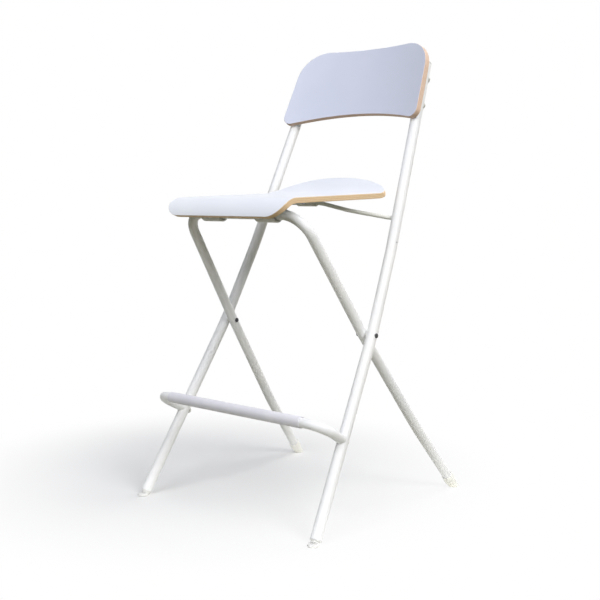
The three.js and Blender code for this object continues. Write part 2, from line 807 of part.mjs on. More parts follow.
// Threaded insert, a ring pressed into the back of the panel
function backInsert(side, rise) {
  const ring = toSolid(backHole(side, rise, backInsertDiameter / 2,
    -backFaceReach - backInsertDepth, -backFaceReach - fitGap, smallSides));
  return ring.subtract(toSolid(backHole(side, rise, backScrewDiameter / 2 + fitGap,
    -mainTubeDiameter - backThickness, 0, smallSides)));
}

function backScrew(side, rise) {
  const { place, normal } = backScrewLine(side, rise);
  const forwards = normal.clone().negate();
  const headAt = -Math.hypot(mainRadius, backHeadDiameter / 4);
  const tip = backFaceReach + backInsertDepth - fitGap;
  const screw = panScrew(place, forwards, backScrewDiameter / 2, backHeadDiameter / 2,
    backHeadHeight, headAt, tip);
  const shankOnly = toSolid(roundBar(place, forwards, backScrewDiameter / 2,
    headAt - backHeadHeight / 2, tip, screwSides));
  return toSolid(screw).subtract(mainTubeSpace(side)).add(shankOnly);
}

// Bush in the inner wall of a main tube, where the link rod's end turns
function linkBush(side) {
  const place = mainAxisAt(side, linkPivotHeight);
  const inwards = across.clone().multiplyScalar(-side);
  const face = mainRadius;
  const flange = toSolid(roundBar(place, inwards, bushFlangeDiameter / 2, face / 2,
    face + bushFlangeThickness, smallSides)).subtract(mainTubeSpace(side));
  const barrel = toSolid(roundBar(place, inwards, bushBarrelDiameter / 2, face - bushBarrelLength,
    face + bushFlangeThickness, smallSides));
  const bore = toSolid(roundBar(place, inwards, rodRadius, face - bushBarrelLength - cutOverrun,
    face + bushFlangeThickness + cutOverrun, smallSides));
  return flange.add(barrel).subtract(bore);
}

// Screw places of the saddles and the rod clamps, as a distance along the seat and sideways
function saddleScrewPlace(side, end) {
  return { depth: rearBarDepth + end * saddleScrewOffset, spread: side * saddleSpread };
}

function rodScrewPlace(side, end) {
  return { depth: rodPivotDepth + end * rodScrewOffset, spread: side * rodClampSpread };
}

function allFour(placeOf) {
  return sides.flatMap(([, side]) => screwEnds.map(([, end]) => placeOf(side, end)));
}

// Height of the seat's underside over a place on its flat part
function seatUndersideHeight(depth) {
  return seatPlace(seatAlong(depth), 0, seatThickness).z;
}

function verticalRod({ depth, spread }, radius, low, high, count) {
  return roundBar(new THREE.Vector3(spread, depth, 0), upright, radius, low, high, count);
}

const seatBlank = toSolid(ruledPanel(seatRulings(), seatPlace, 0, seatThickness));

function seatPanel() {
  const holes = [...allFour(saddleScrewPlace), ...allFour(rodScrewPlace)].map((place) => {
    const low = seatUndersideHeight(place.depth);
    return toSolid(verticalRod(place, seatInsertDiameter / 2 + fitGap, low - seatThickness,
      low + seatInsertDepth + fitGap, smallSides));
  });
  return holes.reduce((whole, hole) => whole.subtract(hole), seatBlank);
}

// Threaded insert: a ring in the seat, trimmed flush with the seat's underside
function seatInsert(place) {
  const low = seatUndersideHeight(place.depth);
  const ring = toSolid(verticalRod(place, seatInsertDiameter / 2, low - seatThickness,
    low + seatInsertDepth, smallSides)).intersect(seatBlank);
  const bore = toSolid(verticalRod(place, seatInsertDiameter / 2 - seatInsertWall,
    low - seatThickness, low + seatThickness, smallSides));
  return ring.subtract(bore);
}

// An outline in the stool's side view, extruded sideways about a spread
function sideExtrusion(outline, spread, length) {
  const bevel = fitGap * 4;
  const geometry = new THREE.ExtrudeGeometry(new THREE.Shape(outline), {
    depth: length - 2 * bevel, bevelEnabled: true, bevelThickness: bevel, bevelSize: bevel,
    bevelOffset: -bevel, bevelSegments: 2,
  });
  const facing = new THREE.Matrix4().makeBasis(new THREE.Vector3(0, 1, 0), upright, across);
  return geometry.translate(0, 0, bevel - length / 2).applyMatrix4(facing).translate(spread, 0, 0);
}

// Upper half of a saddle: a block between the bar and the seat, hollowed for both
function saddleTop(side) {
  const half = saddleFlangeReach;
  const low = rearBarHeight + fitGap / 2;
  const high = seatUndersideHeight(rearBarDepth + half);
  const outline = [
    new THREE.Vector2(rearBarDepth - half, low),
    new THREE.Vector2(rearBarDepth + half, low),
    new THREE.Vector2(rearBarDepth + half, high),
    new THREE.Vector2(rearBarDepth - half, high),
  ];
  const block = toSolid(sideExtrusion(outline, side * saddleSpread, saddleLength));
  return cutForSaddle(block.subtract(seatCutter()));
}

// Lower half of a saddle: a half ring under the bar with a flange before and behind it
function saddleCap(side) {
  const high = rearBarHeight - fitGap / 2;
  const flangeLow = high - saddleFlangeThickness;
  const outer = rearRadius + turningGap + saddleWall;
  const start = Math.asin((rearBarHeight - flangeLow) / outer);
  const outline = [
    new THREE.Vector2(rearBarDepth + saddleFlangeReach, high),
    new THREE.Vector2(rearBarDepth - saddleFlangeReach, high),
    new THREE.Vector2(rearBarDepth - saddleFlangeReach, flangeLow),
  ];
  const arcSteps = 12;
  for (let i = 0; i <= arcSteps; i += 1) {
    const angle = Math.PI + start + (Math.PI - 2 * start) * i / arcSteps;
    outline.push(new THREE.Vector2(rearBarDepth + outer * Math.cos(angle),
      rearBarHeight + outer * Math.sin(angle)));
  }
  outline.push(new THREE.Vector2(rearBarDepth + saddleFlangeReach, flangeLow));
  return cutForSaddle(toSolid(sideExtrusion(outline, side * saddleSpread, saddleLength)));
}

// The bar's bore and the screw holes, which both halves of the saddles share
function cutForSaddle(block) {
  const bore = toSolid(roundBar(rearBar, across, rearRadius + turningGap, -mainFootSpread,
    mainFootSpread, frameSides));
  return allFour(saddleScrewPlace).reduce((whole, place) => whole.subtract(toSolid(verticalRod(place,
    saddleScrewDiameter / 2 + fitGap, 0, mainTopHeight, screwSides))), block.subtract(bore));
}

function saddleScrew({ depth, spread }) {
  const head = rearBarHeight - fitGap / 2 - saddleFlangeThickness - fitGap;
  const tip = seatUndersideHeight(depth) + seatInsertDepth - head;
  return panScrew(new THREE.Vector3(spread, depth, head), upright, saddleScrewDiameter / 2,
    saddleHeadDiameter / 2, saddleHeadHeight, 0, tip);
}

// Rod clamp: a strap that is pressed up round the rod and screwed to the seat
function rodClamp(side) {
  const outer = rodRadius + turningGap + rodClampWall;
  const under = (offset) => seatUndersideHeight(rodPivot.y + offset) - fitGap;
  const flange = rodClampFlangeThickness;
  const reach = rodClampFlangeReach;
  const outline = [
    new THREE.Vector2(rodPivot.y + reach, under(reach)),
    new THREE.Vector2(rodPivot.y - reach, under(-reach)),
    new THREE.Vector2(rodPivot.y - reach, under(-reach) - flange),
    new THREE.Vector2(rodPivot.y - outer, under(-outer) - flange),
  ];
  const start = Math.asin(Math.min(1, (rodPivot.z - under(0) + flange) / outer));
  const arcSteps = 8;
  for (let i = 1; i < arcSteps; i += 1) {
    const angle = Math.PI + start + (Math.PI - 2 * start) * i / arcSteps;
    outline.push(new THREE.Vector2(rodPivot.y + outer * Math.cos(angle),
      rodPivot.z + outer * Math.sin(angle)));
  }
  outline.push(new THREE.Vector2(rodPivot.y + outer, under(outer) - flange),
    new THREE.Vector2(rodPivot.y + reach, under(reach) - flange));
  const strap = toSolid(sideExtrusion(outline, side * rodClampSpread, rodClampLength));
  const channel = rodRadius + turningGap;
  const bore = toSolid(roundBar(rodPivot, across, channel, -mainFootSpread, mainFootSpread, smallSides));
  const slot = toSolid(new THREE.BoxGeometry(2 * mainFootSpread, 2 * channel, 2 * channel)
    .translate(0, rodPivot.y, rodPivot.z + channel));
  const open = strap.subtract(bore).subtract(slot);
  return allFour(rodScrewPlace).reduce((whole, place) => whole.subtract(toSolid(verticalRod(place,
    rodScrewDiameter / 2 + fitGap, 0, mainTopHeight, screwSides))), open);
}

function rodClampScrew({ depth, spread }) {
  const head = seatUndersideHeight(depth) - fitGap - rodClampFlangeThickness - fitGap
    - rodHeadDiameter / 2 * Math.tan(seatSlope);
  const tip = seatUndersideHeight(depth) + seatInsertDepth - head;
  return panScrew(new THREE.Vector3(spread, depth, head), upright, rodScrewDiameter / 2,
    rodHeadDiameter / 2, rodHeadHeight, 0, tip);
}

// Link rod: it crosses under the seat, runs back, flares out and turns in to meet the tubes
function linkRod() {
  const tubeFace = mainAxisAt(1, linkPivotHeight).x - mainRadius;
  const tip = tubeFace - bushFlangeThickness - linkTipGap;
  const reach = linkPivot.distanceTo(rodPivot);
  const arm = (side) => [[tip, 1], [rodTipSpread, 1], [rodFlareSpread, rodFlareDistance / reach],
    [rodCornerSpread, 0]].map(([spread, share]) => rodPivot.clone().lerp(linkPivot, share)
    .addScaledVector(across, side * spread));
  const corners = [...arm(-1), ...arm(1).reverse()];
  const radii = [rodTipRadius, rodFlareRadius, rodCornerRadius,
    rodCornerRadius, rodFlareRadius, rodTipRadius];
  return sweep(new BentPath(corners, radii), rodRadius, 0, smallSides);
}

// Assembly
sides.forEach(([word, side]) => {
  addPiece(`main_tube_${word}`, toGeometry(mainTube(side)), coatWhite);
  addPiece(`tube_cap_${word}`, welded(topCap(side)), plasticWhite);
  addPiece(`front_foot_${word}`, toGeometry(frontFoot(side)), plasticWhite);
  addPiece(`rear_foot_${word}`, toGeometry(rearFoot(side)), plasticWhite);
  addPiece(`footrest_plug_${word}`, toGeometry(footrestPlug(side)), zincGrey);
  addPiece(`footrest_screw_${word}`, toGeometry(footrestScrew(side)), zincGrey);
  addPiece(`pivot_rivet_${word}`, toGeometry(pivotRivet(side)), zincGrey);
  addPiece(`pivot_spacer_${word}`, toGeometry(pivotSpacer(side)), plasticWhite);
  addPiece(`link_bush_${word}`, toGeometry(linkBush(side)), plasticWhite);
  addPiece(`seat_saddle_${word}`, toGeometry(saddleTop(side)), plasticWhite);
  addPiece(`saddle_cap_${word}`, toGeometry(saddleCap(side)), plasticWhite);
  addPiece(`rod_clamp_${word}`, toGeometry(rodClamp(side)), plasticWhite);
  backScrewRows.forEach(([row, rise]) => {
    addPiece(`backrest_screw_${row}_${word}`, toGeometry(backScrew(side, rise)), zincGrey);
    addPiece(`backrest_insert_${row}_${word}`, toGeometry(backInsert(side, rise)), zincGrey);
  });
  screwEnds.forEach(([end, way]) => {
    const saddlePlace = saddleScrewPlace(side, way);
    const rodPlace = rodScrewPlace(side, way);
    addPiece(`saddle_screw_${end}_${word}`, welded(saddleScrew(saddlePlace)), zincGrey);
    addPiece(`saddle_insert_${end}_${word}`, toGeometry(seatInsert(saddlePlace)), zincGrey);
    addPiece(`rod_clamp_screw_${end}_${word}`, welded(rodClampScrew(rodPlace)), zincGrey);
    addPiece(`rod_clamp_insert_${end}_${word}`, toGeometry(seatInsert(rodPlace)), zincGrey);
  });
});
addPiece('rear_frame_tube', toGeometry(rearFrameTube()), coatWhite);
addPiece('footrest_tube', toGeometry(footrestTube()), coatWhite);
addPiece('footrest_sleeve', welded(footrestSleeve()), sleeveGrey);
addPiece('backrest_panel', toGeometry(backrestPanel()), laminateWhite);
addPiece('seat_panel', toGeometry(seatPanel()), laminateWhite);
addPiece('link_rod', welded(linkRod()), zincGrey);

// Origin on the floor under the middle of the stool's box
const box = new THREE.Box3().setFromObject(stool);
stool.position.set(0, -(box.min.y + box.max.y) / 2, 0);

export default stool;
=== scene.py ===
# %% [markdown]
# # A folding bar stool, dressed as a lesson
#
# The stool is two bent-tube frames that cross like scissors, a moulded plywood seat and backrest,
# and a thin link rod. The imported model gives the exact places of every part. Each cell below
# takes one kind of piece, says what it is on the real stool, and then works its surface out with
# numpy in millimetres.

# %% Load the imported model
import bpy
import math
import numpy as np
from mathutils import Matrix


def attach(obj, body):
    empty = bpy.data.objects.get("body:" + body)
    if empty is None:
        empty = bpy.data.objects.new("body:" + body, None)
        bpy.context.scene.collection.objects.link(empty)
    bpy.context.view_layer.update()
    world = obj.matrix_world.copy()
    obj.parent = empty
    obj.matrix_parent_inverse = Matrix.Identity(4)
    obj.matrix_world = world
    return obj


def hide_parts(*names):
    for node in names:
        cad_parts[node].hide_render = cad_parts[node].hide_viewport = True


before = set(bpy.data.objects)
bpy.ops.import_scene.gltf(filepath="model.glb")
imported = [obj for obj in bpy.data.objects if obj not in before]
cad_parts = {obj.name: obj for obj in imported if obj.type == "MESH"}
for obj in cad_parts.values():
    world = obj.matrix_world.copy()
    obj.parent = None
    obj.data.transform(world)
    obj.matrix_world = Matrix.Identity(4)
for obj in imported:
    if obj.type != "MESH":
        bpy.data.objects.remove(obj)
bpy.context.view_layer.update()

# %% [markdown]
# ## Places
#
# All sizes are written in millimetres, and depth is counted from the front feet. The model's
# origin is under the middle of the stool, so one shift in depth brings a point into its frame.
# The sitter's left is +X and the front is -Y. Each side's pieces are made by the same function,
# with a side of +1 or -1.

# %% Shared values
depth_shift = -240.377
sides = {"left": 1, "right": -1}
across = np.array([1.0, 0.0, 0.0])
upright = np.array([0.0, 0.0, 1.0])


def place(x, y, z):
    """A point in millimetres as an array."""
    return np.array([x, y, z], float)


def unit(vector):
    """The vector divided by its length, along its last axis."""
    return vector / np.linalg.norm(vector, axis=-1, keepdims=True)


def to_metres(points):
    """Millimetres from the front feet, shifted in depth and divided by a thousand."""
    return (np.asarray(points, float) + (0, depth_shift, 0)) / 1000


print("shift", to_metres(place(0, 0, 0)))

# %% [markdown]
# ## Making a mesh from a grid of points
#
# Nearly every surface here is a grid: stations one way and points round a ring the other way.
# It could also be drawn with curves and bevels, but a grid of numbers keeps each formula in
# view and gives even faces. The grid is skinned with quads. Its ends are closed by a fan, or
# the last ring is joined to the first. If the enclosed volume comes out negative, the faces are
# turned over, so they always point outwards.

# %% Skins and pieces
def ring_quads(index):
    """Quads between neighbouring rows of an index grid whose rows are closed rings."""
    a = index[:-1]
    b = np.roll(index, -1, 1)[:-1]
    c = np.roll(index, -1, 1)[1:]
    d = index[1:]
    return np.stack([a, b, c, d], -1).reshape(-1, 4)


def sheet_quads(index):
    """Quads between neighbouring rows and columns of an open index grid."""
    return np.stack([index[:-1, :-1], index[:-1, 1:], index[1:, 1:], index[1:, :-1]],
                    -1).reshape(-1, 4)


def skin(rings, looped=False):
    """Points and faces of a stack of closed rings. The rows are joined one to the next. A looped
    stack joins its last ring to its first, and any other is closed by a fan at both ends."""
    count, around = rings.shape[:2]
    points = rings.reshape(-1, 3)
    index = np.arange(count * around).reshape(count, around)
    if looped:
        return points, [ring_quads(np.vstack([index, index[:1]]))]
    centres = np.stack([rings[0].mean(0), rings[-1].mean(0)])
    points = np.vstack([points, centres])
    first, last = len(points) - 2, len(points) - 1
    start = np.stack([np.roll(index[0], -1), index[0], np.full(around, first)], -1)
    end = np.stack([index[-1], np.roll(index[-1], -1), np.full(around, last)], -1)
    return points, [ring_quads(index), start, end]


def enclosed_volume(points, faces):
    """Sum over fan triangles of each face of the signed volume that they make with the origin."""
    total = 0.0
    for block in faces:
        for k in range(1, block.shape[1] - 1):
            a, b, c = points[block[:, 0]], points[block[:, k]], points[block[:, k + 1]]
            total += np.einsum("ij,ij->", a, np.cross(b, c)) / 6
    return total


def add_object(name, data):
    """A new object in the scene."""
    holder = bpy.data.objects.new(name, data)
    bpy.context.scene.collection.objects.link(holder)
    return holder


def make_mesh(name, points, faces, crease=35):
    """A mesh object in metres from millimetre points and blocks of faces, right side out, smooth
    but for edges sharper than the crease angle."""
    if enclosed_volume(points - points.mean(0), faces) < 0:
        faces = [block[:, ::-1] for block in faces]
    mesh = bpy.data.meshes.new(name)
    corners = [face for block in faces for face in block.tolist()]
    mesh.from_pydata(to_metres(points).tolist(), [], corners)
    mesh.update()
    mesh.shade_smooth()
    mesh.set_sharp_from_angle(angle=math.radians(crease))
    return add_object(name, mesh)


def wear(piece, materials):
    """Gives a piece its materials, and keeps which face has which."""
    index = np.empty(len(piece.data.polygons), np.int32)
    piece.data.polygons.foreach_get("material_index", index)
    piece.data.materials.clear()
    for material in materials:
        piece.data.materials.append(material)
    piece.data.polygons.foreach_set("material_index", index)


def settle(piece, body, slot, *replaced):
    """Gives a piece its slot's finishes and its body, and hides the CAD nodes it stands for."""
    wear(piece, finishes[slot])
    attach(piece, body)
    if replaced:
        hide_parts(*replaced)
    made.append((piece.name, len(piece.data.polygons)))


finishes, made = {}, []
print("helpers ready")

# %% [markdown]
# ## Bent tubes
#
# Each frame is round steel tube, bent on a machine: straight runs with arcs between them. Here
# the axis is worked out the same way. A corner between two runs is replaced by an arc that
# touches both, and the tube is a ring carried along that line. The ring's direction is held by
# a fixed vector that is never parallel to the tube, so the mesh doesn't twist. A curve object
# with a bevel would do, but then the wall, the ends and the fishmouth cuts need a mesh anyway.

# %% Lines and sweeps
def arc_between(before, corner, after, radius, turn_step=3.0):
    """Arc that rounds a corner: its centre lies on the bisector, at the radius divided by the
    sine of half the inner angle, and it starts where it touches the first run."""
    back, ahead = unit(before - corner), unit(after - corner)
    turn = np.pi - np.arccos(np.clip(back @ ahead, -1, 1))
    reach = radius * np.tan(turn / 2)
    centre = corner + unit(back + ahead) * np.hypot(radius, reach)
    outward = (corner + back * reach - centre) / radius
    steps = max(3, int(np.ceil(np.degrees(turn) / turn_step)))
    angle = np.linspace(0, turn, steps + 1)[:, None]
    return centre + radius * (np.cos(angle) * outward - np.sin(angle) * back)


def bent_line(corners, radii, spacing=7.0):
    """Axis of a bent tube: points every few millimetres on the runs and every few degrees on
    the arcs."""
    pieces, start = [], corners[0]
    for k, radius in enumerate(radii):
        arc = arc_between(corners[k], corners[k + 1], corners[k + 2], radius)
        pieces += [straight(start, arc[0], spacing)[:-1], arc[:-1]]
        start = arc[-1]
    pieces.append(straight(start, corners[-1], spacing))
    return np.vstack(pieces)


def straight(start, end, spacing):
    """Evenly spaced points from one place to another."""
    steps = max(1, int(round(np.linalg.norm(end - start) / spacing)))
    return start + np.linspace(0, 1, steps + 1)[:, None] * (end - start)


def rings_along(line, radius, reference, around):
    """Rings of a radius, or of one radius for each point, square to a line. A ring's point is the
    axis plus the radius times cosine and sine of its angle on two directions square to it."""
    tangent = unit(np.gradient(line, axis=0))
    side = unit(reference - (tangent @ reference)[:, None] * tangent)
    other = np.cross(tangent, side)
    angle = np.linspace(0, 2 * np.pi, around, endpoint=False)[None, :, None]
    radius = np.broadcast_to(radius, len(line))[:, None, None]
    spokes = np.cos(angle) * side[:, None] + np.sin(angle) * other[:, None]
    return line[:, None] + radius * spokes


def tube(name, line, radius, wall, reference, around=48, lip=0.35):
    """Hollow tube: the outer rings there, the inner rings back, and rounded lips at the ends."""
    outer = rings_along(line, radius, reference, around)
    inner = rings_along(line, radius - wall, reference, around)[::-1]
    onwards, back = end_steps(line, lip)
    stack = np.concatenate([outer[:1] + onwards, outer[1:-1], outer[-1:] + back,
                            eased(outer[-1:], line[-1], lip), eased(inner[:1], line[-1], -lip),
                            inner[:1] + back, inner[1:-1], inner[-1:] + onwards,
                            eased(inner[-1:], line[0], -lip), eased(outer[:1], line[0], lip)])
    return make_mesh(name, *skin(stack, looped=True), crease=50)


def end_steps(line, length):
    """Steps of a length from a line's first point onwards and from its last point back."""
    return unit(line[1] - line[0]) * length, unit(line[-2] - line[-1]) * length


def eased(ring, centre, amount):
    """A ring drawn in towards its centre by an amount, or let out where the amount is negative."""
    return ring + unit(centre - ring) * amount


def round_rod(name, line, radius, reference, around=24, chamfer=0.6):
    """Solid round rod with chamfered ends."""
    rings = rings_along(line, radius, reference, around)
    onwards, back = end_steps(line, chamfer)
    stack = np.concatenate([eased(rings[:1], line[0], chamfer), rings[:1] + onwards, rings[1:-1],
                            rings[-1:] + back, eased(rings[-1:], line[-1], chamfer)])
    return make_mesh(name, *skin(stack), crease=50)


print("sweeps ready")

# %% [markdown]
# ## Turned pieces
#
# Rivet heads, caps and screws are round about one axis. A lathe profile, given as
# radius and height pairs, is turned about that axis. A screw's hexagonal socket is the same
# idea with a radius that changes with the angle.

# %% Lathe, arcs in a profile, and cutters
def axis_frame(direction):
    """Two directions square to a direction, and the direction itself."""
    axis = unit(np.asarray(direction, float))
    helper = upright if abs(axis[2]) < 0.9 else across
    side = unit(np.cross(helper, axis))
    return side, np.cross(axis, side), axis


def lathe_rings(profile, centre, direction, around, shapes=None):
    """Rings of a turned form: centre plus height along the axis plus radius times cosine and
    sine of the angle. A shape is a factor on the radius, one for each angle."""
    side, other, axis = axis_frame(direction)
    profile = np.asarray(profile, float)
    angle = np.linspace(0, 2 * np.pi, around, endpoint=False)
    radius = profile[:, :1] * (1 if shapes is None else shapes)
    flat = (radius * np.cos(angle))[..., None] * side + (radius * np.sin(angle))[..., None] * other
    return centre + flat + profile[:, 1][:, None, None] * axis


def turned(name, profile, centre, direction, around=32, looped=False, shapes=None, crease=35):
    """A turned piece from radius and height pairs. A looped profile makes a ring."""
    rings = lathe_rings(profile, centre, direction, around, shapes)
    return make_mesh(name, *skin(rings, looped), crease)


def corner_arc(centre, radius, start, end, steps=5):
    """Pairs on an arc, with its angles in degrees from the first coordinate to the second. In a
    profile these are radius and height, in a side view depth and height."""
    angle = np.radians(np.linspace(start, end, steps + 1))
    return [(centre[0] + radius * np.cos(a), centre[1] + radius * np.sin(a)) for a in angle]


def bar_cutter(centre, direction, radius, start, end, around=32):
    """A plain round bar that only cuts a hole in another piece."""
    return turned("cutter", [(radius, start), (radius, end)], centre, direction, around)


def cut(piece, others, operation="DIFFERENCE", crease=35):
    """Cuts other pieces out of a piece, or joins them to it, with exact booleans. They are then
    removed."""
    for other in others:
        boolean = piece.modifiers.new("cut", "BOOLEAN")
        boolean.operation, boolean.solver, boolean.object = operation, "EXACT", other
    bpy.context.view_layer.update()
    shape = bpy.data.meshes.new_from_object(
        piece.evaluated_get(bpy.context.evaluated_depsgraph_get()))
    piece.modifiers.clear()
    piece.data = shape
    shape.name = piece.name
    shape.set_sharp_from_angle(angle=math.radians(crease))
    for other in others:
        bpy.data.objects.remove(other)
    return piece


print("lathe ready")

# %% [markdown]
# ## Finishes
#
# The frame is white powder coat, which is slightly uneven under the light: a fine orange peel
# and soft changes in gloss. The seat and backrest are plywood with a white laminate face, so
# their edges show the veneers. The feet and the sleeve are moulded plastic. Each finish is a
# small node tree on object coordinates, in metres, or on the UV map of the panels' edges, so
# its grain has a true size and stays on the piece when it moves. Image textures could hold
# more, but these can be read and changed.

# %% Node helpers
def srgb(red, green, blue):
    """Screen colour from 0 to 255 as linear light, by the sRGB curve."""
    value = np.array([red, green, blue]) / 255
    linear = np.where(value <= 0.04045, value / 12.92, ((value + 0.055) / 1.055) ** 2.4)
    return (*linear.tolist(), 1.0)


class Finish:
    """A material being built: its nodes, its links, its shader and its coordinates."""

    def __init__(self, name, roughness, metallic=0.0, coat=0.0, specular=0.5):
        self.material = bpy.data.materials.new(name)
        self.material.use_nodes = True
        self.nodes, self.links = self.material.node_tree.nodes, self.material.node_tree.links
        self.shader = self.nodes["Principled BSDF"]
        self.shader.inputs["Metallic"].default_value = metallic
        self.shader.inputs["Roughness"].default_value = roughness
        self.shader.inputs["Coat Weight"].default_value = coat
        self.shader.inputs["Specular IOR Level"].default_value = specular
        self.coordinates = self.add("ShaderNodeTexCoord").outputs["Object"]

    def add(self, kind, **settings):
        """A new node of a kind, with its settings."""
        node = self.nodes.new(kind)
        for key, value in settings.items():
            setattr(node, key, value)
        return node

    def scaled(self, source, factors):
        """Coordinates stretched along each axis."""
        mapping = self.add("ShaderNodeMapping")
        mapping.inputs["Scale"].default_value = factors
        self.links.new(source, mapping.inputs["Vector"])
        return mapping.outputs["Vector"]

    def noise(self, scale, detail=3.0, roughness=0.5, source=None):
        """A noise from 0 to 1 whose scale is in waves to a metre."""
        node = self.add("ShaderNodeTexNoise")
        node.inputs["Scale"].default_value = scale
        node.inputs["Detail"].default_value = detail
        node.inputs["Roughness"].default_value = roughness
        self.links.new(source or self.coordinates, node.inputs["Vector"])
        return node.outputs["Fac"]

    def ranged(self, source, low, high, out_low, out_high, curve="LINEAR"):
        """A value moved from one range to another, and kept inside it."""
        node = self.add("ShaderNodeMapRange", interpolation_type=curve)
        for key, value in zip(("From Min", "From Max", "To Min", "To Max"),
                              (low, high, out_low, out_high)):
            node.inputs[key].default_value = value
        self.links.new(source, node.inputs["Value"])
        return node.outputs["Result"]

    def ramp(self, source, stops):
        """Colour from a value, by colour stops at positions from 0 to 1."""
        node = self.add("ShaderNodeValToRGB")
        while len(node.color_ramp.elements) < len(stops):
            node.color_ramp.elements.new(0.5)
        for element, (position, colour) in zip(node.color_ramp.elements, stops):
            element.position = position
            element.color = colour
        self.links.new(source, node.inputs["Fac"])
        return node.outputs["Color"]

    def mixed(self, share, first, second):
        """Two colours mixed by a share. Each may be a socket or a colour."""
        node = self.add("ShaderNodeMix", data_type="RGBA")
        for socket, value in zip((node.inputs["Factor"], node.inputs["A"], node.inputs["B"]),
                                 (share, first, second)):
            if isinstance(value, bpy.types.NodeSocket):
                self.links.new(value, socket)
            else:
                socket.default_value = value
        return node.outputs["Result"]

    def drift(self, scale, detail, base, shade):
        """A colour that drifts between two tones, by a noise of a scale."""
        share = self.ranged(self.noise(scale, detail), 0.35, 0.65, 0.0, 1.0)
        return self.mixed(share, srgb(*base), srgb(*shade))

    def math(self, operation, first, second=None, third=None):
        """One to three values taken through an operation. Each is a socket or a number."""
        node = self.add("ShaderNodeMath", operation=operation)
        for socket, value in zip(node.inputs, (first, second, third)):
            if isinstance(value, bpy.types.NodeSocket):
                self.links.new(value, socket)
            elif value is not None:
                socket.default_value = value
        return node.outputs["Value"]

    def colour(self, source):
        """Gives the shader its colour."""
        self.links.new(source, self.shader.inputs["Base Color"])

    def roughness(self, source):
        """Gives the shader its roughness."""
        self.links.new(source, self.shader.inputs["Roughness"])

    def bump(self, source, height):
        """A bump whose height is in metres."""
        node = self.add("ShaderNodeBump")
        node.inputs["Strength"].default_value = 1.0
        node.inputs["Distance"].default_value = height
        self.links.new(source, node.inputs["Height"])
        self.links.new(node.outputs["Normal"], self.shader.inputs["Normal"])


print("node helpers ready")

# %% [markdown]
# ### Powder coat and plain plastics
#
# Powder coat melts into a skin with dimples about a millimetre apart. Seen from a metre away
# they only soften the highlights. A low, wide noise shifts the colour by a shade, and a
# sparse noise gives the faint scuffs that a used stool has. Moulded plastic is softer, with a
# spark-eroded grain finer than the coat's.

# %% Coat, rod and plastics
def powder_coat(name, base, shade):
    """White coat: colour drifts between two near whites, dimples a millimetre apart, faint
    scuffs where a sparse noise rises over its threshold."""
    finish = Finish(name, 0.36, specular=0.25)
    body = finish.drift(9.0, 2.0, base, shade)
    scuffs = finish.ranged(finish.noise(70.0, detail=6.0, roughness=0.65), 0.63, 0.74, 0.0, 0.25)
    finish.colour(finish.mixed(scuffs, body, srgb(206, 204, 198)))
    finish.roughness(finish.ranged(finish.noise(38.0, detail=3.0), 0.3, 0.7, 0.29, 0.45))
    finish.bump(finish.noise(950.0, detail=2.0), 0.000018)
    return finish.material


def moulded_plastic(name, base, shade, roughness, grain=2300.0):
    """Moulded plastic: two close tones, a fine even grain and a soft change in gloss."""
    finish = Finish(name, roughness, specular=0.25)
    finish.colour(finish.drift(24.0, 3.0, base, shade))
    finish.roughness(finish.ranged(finish.noise(90.0, detail=2.0), 0.3, 0.7, roughness - 0.06,
                                   roughness + 0.07))
    finish.bump(finish.noise(grain, detail=2.0), 0.00001)
    return finish.material


strap_finish = powder_coat("coated strap", (226, 226, 220), (214, 214, 207))
finishes |= {
    "coated_tube": [powder_coat("white powder coat", (249, 249, 250), (243, 244, 247))],
    "coated_steel_strap": [strap_finish], "coated_fastener": [strap_finish],
    "link_rod": [powder_coat("coated rod", (233, 233, 229), (222, 222, 217))],
    "white_plastic": [moulded_plastic("white plastic", (240, 240, 238), (231, 231, 230), 0.42)],
    "cream_plastic": [moulded_plastic("cream plastic", (250, 249, 245), (245, 244, 238), 0.45)],
    "footrest_sleeve": [moulded_plastic("grey sleeve", (235, 234, 242), (228, 227, 237), 0.5,
                                        grain=1500.0)]}
print("slots", list(finishes))

# %% [markdown]
# ### Metals
#
# The small fasteners are zinc-plated, a grey metal with a cloudy plating. Rivet heads are darker
# and duller. Both get fine turning marks from a noise that is squeezed along one axis.

# %% Metals
def plated_metal(name, light, dark, roughness):
    """Plated steel: cloudy between two greys, with fine scratches that change its gloss."""
    finish = Finish(name, roughness, metallic=0.9)
    finish.colour(finish.drift(160.0, 4.0, light, dark))
    streaks = finish.noise(700.0, detail=3.0, source=finish.scaled(finish.coordinates, (1, 1, 6)))
    finish.roughness(finish.ranged(streaks, 0.3, 0.7, roughness - 0.08, roughness + 0.12))
    finish.bump(streaks, 0.00003)
    return finish.material


finishes |= {
    "zinc_fastener": [plated_metal("zinc plate", (176, 178, 182), (140, 142, 147), 0.32)],
    "dark_rivet": [plated_metal("dark rivet", (78, 78, 80), (52, 52, 55), 0.45)]}
print("slots", len(finishes))

# %% [markdown]
# ### Laminate and plywood
#
# The panels' faces are a hard white laminate, cool in tone, with a barely visible stipple. The
# backrest's face is the same laminate painted darker and bluer than the seat's, as painted shade.
# Their edges show the veneers: thin layers, lighter and darker in turn, with glue lines
# between. The edge pattern reads the piece's own UV map, whose height runs through the
# thickness in metres, so the layers follow the edge round every corner.

# %% Laminate face and veneer edge
def laminate_face(name, base, shade):
    """Laminate: a wide soft drift of tone, a sparse speckle and a fine stipple."""
    finish = Finish(name, 0.36, coat=0.08)
    body = finish.drift(5.0, 2.0, base, shade)
    speckle = finish.ranged(finish.noise(420.0, detail=4.0, roughness=0.7), 0.6, 0.8, 0.0, 0.35)
    finish.colour(finish.mixed(speckle, body, srgb(*(value - 12 for value in shade))))
    finish.roughness(finish.ranged(finish.noise(60.0, detail=4.0), 0.3, 0.7, 0.3, 0.44))
    finish.bump(finish.noise(1300.0, detail=3.0), 0.00005)
    return finish.material


